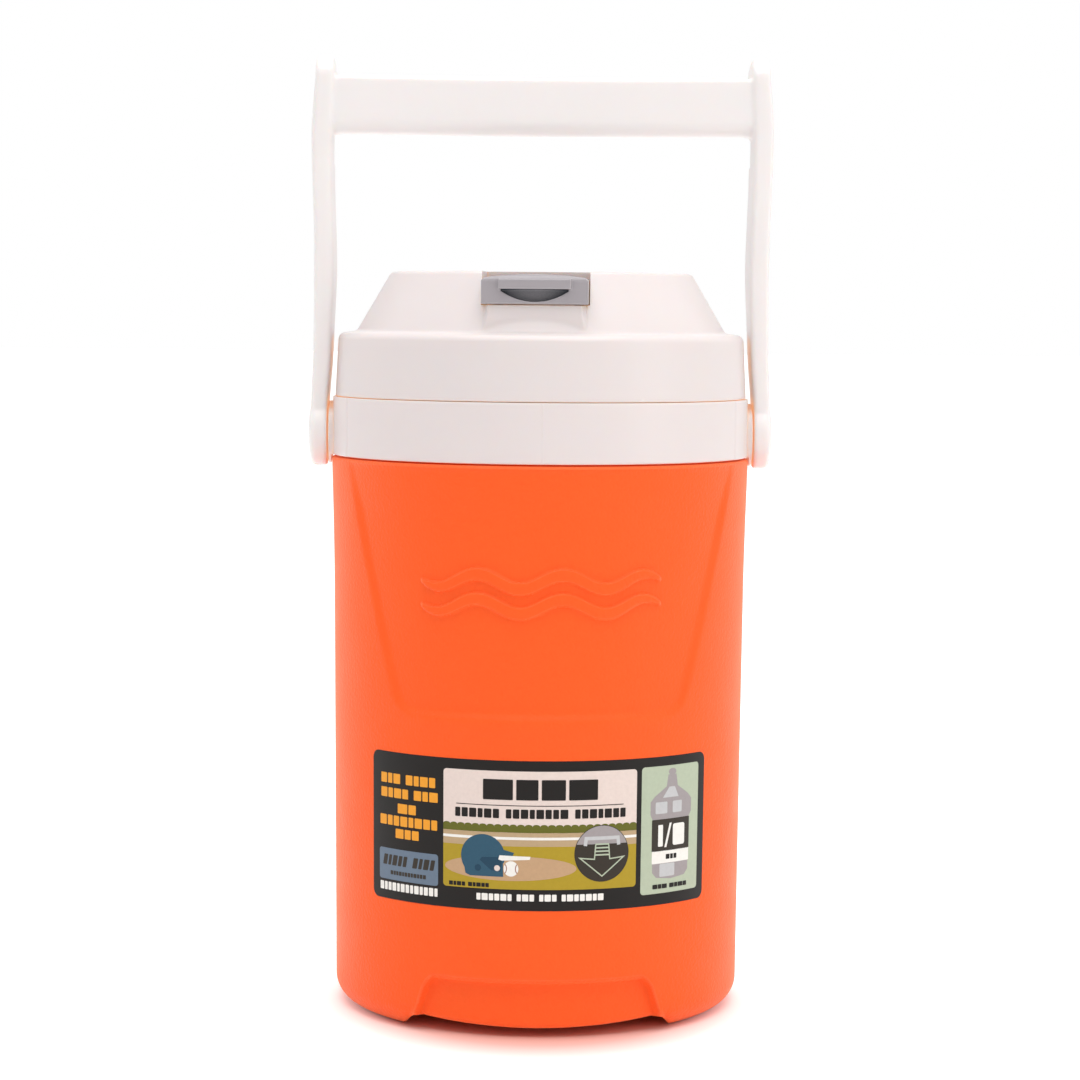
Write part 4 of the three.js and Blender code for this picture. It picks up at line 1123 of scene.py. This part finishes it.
def print_bottle():
    """The right panel: a grey bottle with a dark band and a white band."""
    print_on("side_panel", "mint", 1, block(35.3, 60.9, 48.0, 91.5, 1.2))
    bottle = [
        (39.9, 55.2), (41.6, 53.4), (47.9, 52.7), (54.2, 53.4), (55.9, 55.2), (56.2, 73.5), (57.3, 75.0),
        (57.3, 79.4), (55.6, 81.2), (50.6, 84.4), (49.9, 88.4), (46.3, 88.4), (45.6, 84.4), (40.6, 81.2),
        (38.9, 79.4), (38.9, 75.0), (39.8, 73.5),
    ]
    print_on("bottle", "grey", 2, bottle, oval(48.1, 89.3, 1.7, 1.2, count=20))
    print_on(
        "bottle_light", "mist", 3, block(43.0, 49.6, 53.6, 58.0, 0.4), block(41.0, 46.0, 75.2, 79.2, 0.4),
        block(48.4, 52.6, 75.2, 79.2, 0.4), [(44.0, 80.6), (51.0, 80.6), (49.2, 84.2), (46.8, 84.2)])
    print_on("bottle_band", "dark", 4, block(39.6, 56.3, 62.4, 73.3, 0.3))
    print_on("bottle_strip", "chalk", 4, block(39.7, 56.2, 58.2, 62.5, 0.3))
    blocks = block(42.2, 44.2, 64.0, 71.4, 0.3), block(48.6, 54.0, 64.0, 71.4, 0.8)
    print_on("bottle_block", "chalk", 5, *blocks)
    print_on("bottle_slash", "chalk", 5, [(44.9, 63.6), (45.8, 63.6), (48.0, 71.8), (47.1, 71.8)])
    texts = greeked(45.6, 50.4, 59.5, 61.2, [3]) + greeked(40.2, 55.4, 49.6, 51.1, [3, 4])
    print_on("bottle_text", "black", 5, *texts)


def print_side_text():
    """The left column: dummy lines in yellow, a slate tag, and white dummy lines along the bottom."""
    lines = [
        (-60.9, -37.0, 84.0, 87.4, [3, 4]), (-60.9, -36.0, 79.1, 82.4, [4, 3]),
        (-52.8, -44.8, 74.0, 77.3, [2]), (-61.4, -36.2, 69.6, 73.0, [8]), (-53.8, -43.6, 65.4, 68.6, [3]),
    ]
    print_on("lines", "yellow", 1, *(shape for line in lines for shape in greeked(*line)))
    print_on("tag", "slate", 1, block(-61.8, -35.8, 50.8, 61.5, 1.0))
    tag_lines = greeked(-60.0, -37.6, 55.8, 59.4, [5, 4], 0.2) + greeked(-56.2, -40.6, 52.6, 54.0, [12])
    print_on("tag_lines", "dark", 2, *tag_lines)
    white = greeked(-61.4, -36.0, 47.1, 49.9, [13]) + greeked(-21.7, 21.6, 47.4, 49.7, [6, 3, 3, 7])
    print_on("white_lines", "chalk", 1, *white)


def build_label():
    reach = LABEL_REACH
    print_on("film", "black", 0, block(-reach, reach, LABEL_BOTTOM, LABEL_TOP, 2.8))
    print_picture()
    print_helmet()
    print_pictogram()
    print_bottle()
    print_side_text()


# ---- place every piece ----

place(body_shell(), "jug", "outer_shell", ORANGE)
place(base_bung(), "jug", "base_plug", ORANGE_PLUG)
place(liner(), "jug", "inner_liner", LINER_WHITE)
place(collar_ring(), "jug", "collar", WHITE)
build_label()
place(handle_moulding(), "carry_handle", "handle", HANDLE_WHITE_PAINTED_BRIGHTER)
place(neck_gasket(), "gasket_ring", "lid_gasket", SEAL)
place(lid_shell(), "lid", "lid_outer", WHITE)
place(lid_pan(), "lid", "lid_inner", LINER_WHITE)
place(spout_tube(), "lid", "drinking_spout", LINER_WHITE)
place(hinge_pin(), "lid", "cap_hinge_pin", STEEL)
place(spout_cap(), "flip_cap", "spout_cap", CAP_GREY)
place(cap_plug(), "flip_cap", "cap_seal", SEAL)
for node in ("foam_insulation", "lid_foam"):
    foam = frame["nodes"][node]
    foam.data.materials.clear()
    foam.data.materials.append(FOAM)


# ---- floor, light and camera ----

def floor():
    """A wide pale floor with a painted orange-tinted shadow and bounce light under the jug, and a painted
    glow that brightens it into the white background away from it.
    """
    reach, far = 6000.0, 18000.0
    points = [(-reach, -reach, 0), (reach, -reach, 0), (reach, far, 0), (-reach, far, 0)]
    plane = make_object("floor", points, [[0, 1, 2, 3]])
    material, tree = new_material("pale_floor")
    tone = noise(tree, object_coordinates(tree), 3, 2)
    pale = blend_colours(tree, tone, (0.94, 0.94, 0.94), (0.96, 0.96, 0.96))
    wide = object_coordinates(tree, (1.25, 1, 1))
    away = add_node(tree, "VectorMath", {0: wide, 1: (0, -0.01, 0)}, operation="DISTANCE").outputs["Value"]
    ray = add_node(tree, "LightPath").outputs
    # Painted shadow and painted bounce light: an orange-tinted floor colour near the jug, seen only by the
    # camera.
    painted_shadow_and_bounce = maths(tree, "MULTIPLY", remap(tree, away, 1, 0, 0.05, 0.104), ray["Is Camera Ray"])
    # Painted glow: the floor shines more away from the jug, for the camera and in glossy reflections, where
    # it shows as a painted sheen on the body's lower parts.
    glow = remap(tree, away, 0.0, 0.5, 0.068, 0.102)
    seen = maths(tree, "MAXIMUM", ray["Is Camera Ray"], ray["Is Glossy Ray"])
    set_inputs(tree, tree.nodes["Principled BSDF"], {
        "Base Color": blend_colours(tree, painted_shadow_and_bounce, pale, (0.74, 0.38, 0.3)),
        "Roughness": 0.9,
        "Specular IOR Level": 0.1,
        "Emission Color": (1, 1, 1),
        "Emission Strength": maths(tree, "MULTIPLY", glow, seen),
    })
    plane.data.materials.append(material)


def area_light(name, location, target, size, power, colour=(1, 1, 1)):
    light = bpy.data.lights.new(name, "AREA")
    light.shape = "RECTANGLE"
    light.size, light.size_y = size
    light.energy = power
    light.color = colour
    obj = add_object(name, light)
    obj.location = location
    obj.rotation_mode = "QUATERNION"
    obj.rotation_quaternion = (Vector(target) - Vector(location)).to_track_quat("-Z", "Y")


def studio():
    """White all round, dimmer on the viewer's side, with a broad light above and a weak one on the right."""
    world = bpy.data.worlds.new("studio")
    world.use_nodes = True
    tree = world.node_tree
    direction = add_node(tree, "TexCoord").outputs["Generated"]
    forward = add_node(tree, "SeparateXYZ", {"Vector": direction}).outputs["Y"]
    strength = remap(tree, forward, 0.58, 0.95, -1.0, 0.5)
    surroundings = tree.nodes["Background"]
    set_inputs(tree, surroundings, {"Color": (1, 0.985, 0.975), "Strength": strength})
    backdrop = add_node(tree, "Background", {"Color": (1, 1, 1)})
    seen = add_node(tree, "LightPath").outputs["Is Camera Ray"]
    mixed = add_node(tree, "MixShader", {0: seen, 1: surroundings.outputs[0], 2: backdrop.outputs[0]})
    set_inputs(tree, tree.nodes["World Output"], {"Surface": mixed.outputs[0]})
    bpy.context.scene.world = world
    middle = (0, 0, 0.16)
    area_light("top", (0, -0.35, 1.8), middle, (1.6, 1.6), 22)
    area_light("right", (1.5, -0.8, 0.5), middle, (0.8, 1.2), 4.5, (1, 0.97, 0.9))
    bpy.context.scene.view_settings.view_transform = "Standard"


def camera():
    """Standing a little over a metre off, just below the lid's top, looking slightly down."""
    distance, height, aside = 1.080, 0.2434, 0.00025
    yaw, pitch, roll = -0.7, 4.24, 0.49
    data = bpy.data.cameras.new("camera")
    data.sensor_width, data.lens = 36, 305 / 3
    data.clip_start, data.clip_end = 0.05, 50
    obj = add_object("camera", data)
    around = Matrix.Rotation(math.radians(yaw), 4, "Z")
    look = Matrix.Rotation(math.radians(90 - pitch), 4, "X")
    tilt = Matrix.Rotation(math.radians(roll), 4, "Z")
    obj.matrix_world = around @ Matrix.Translation((aside, -distance, height)) @ look @ tilt
    bpy.context.scene.camera = obj


floor()
studio()
camera()
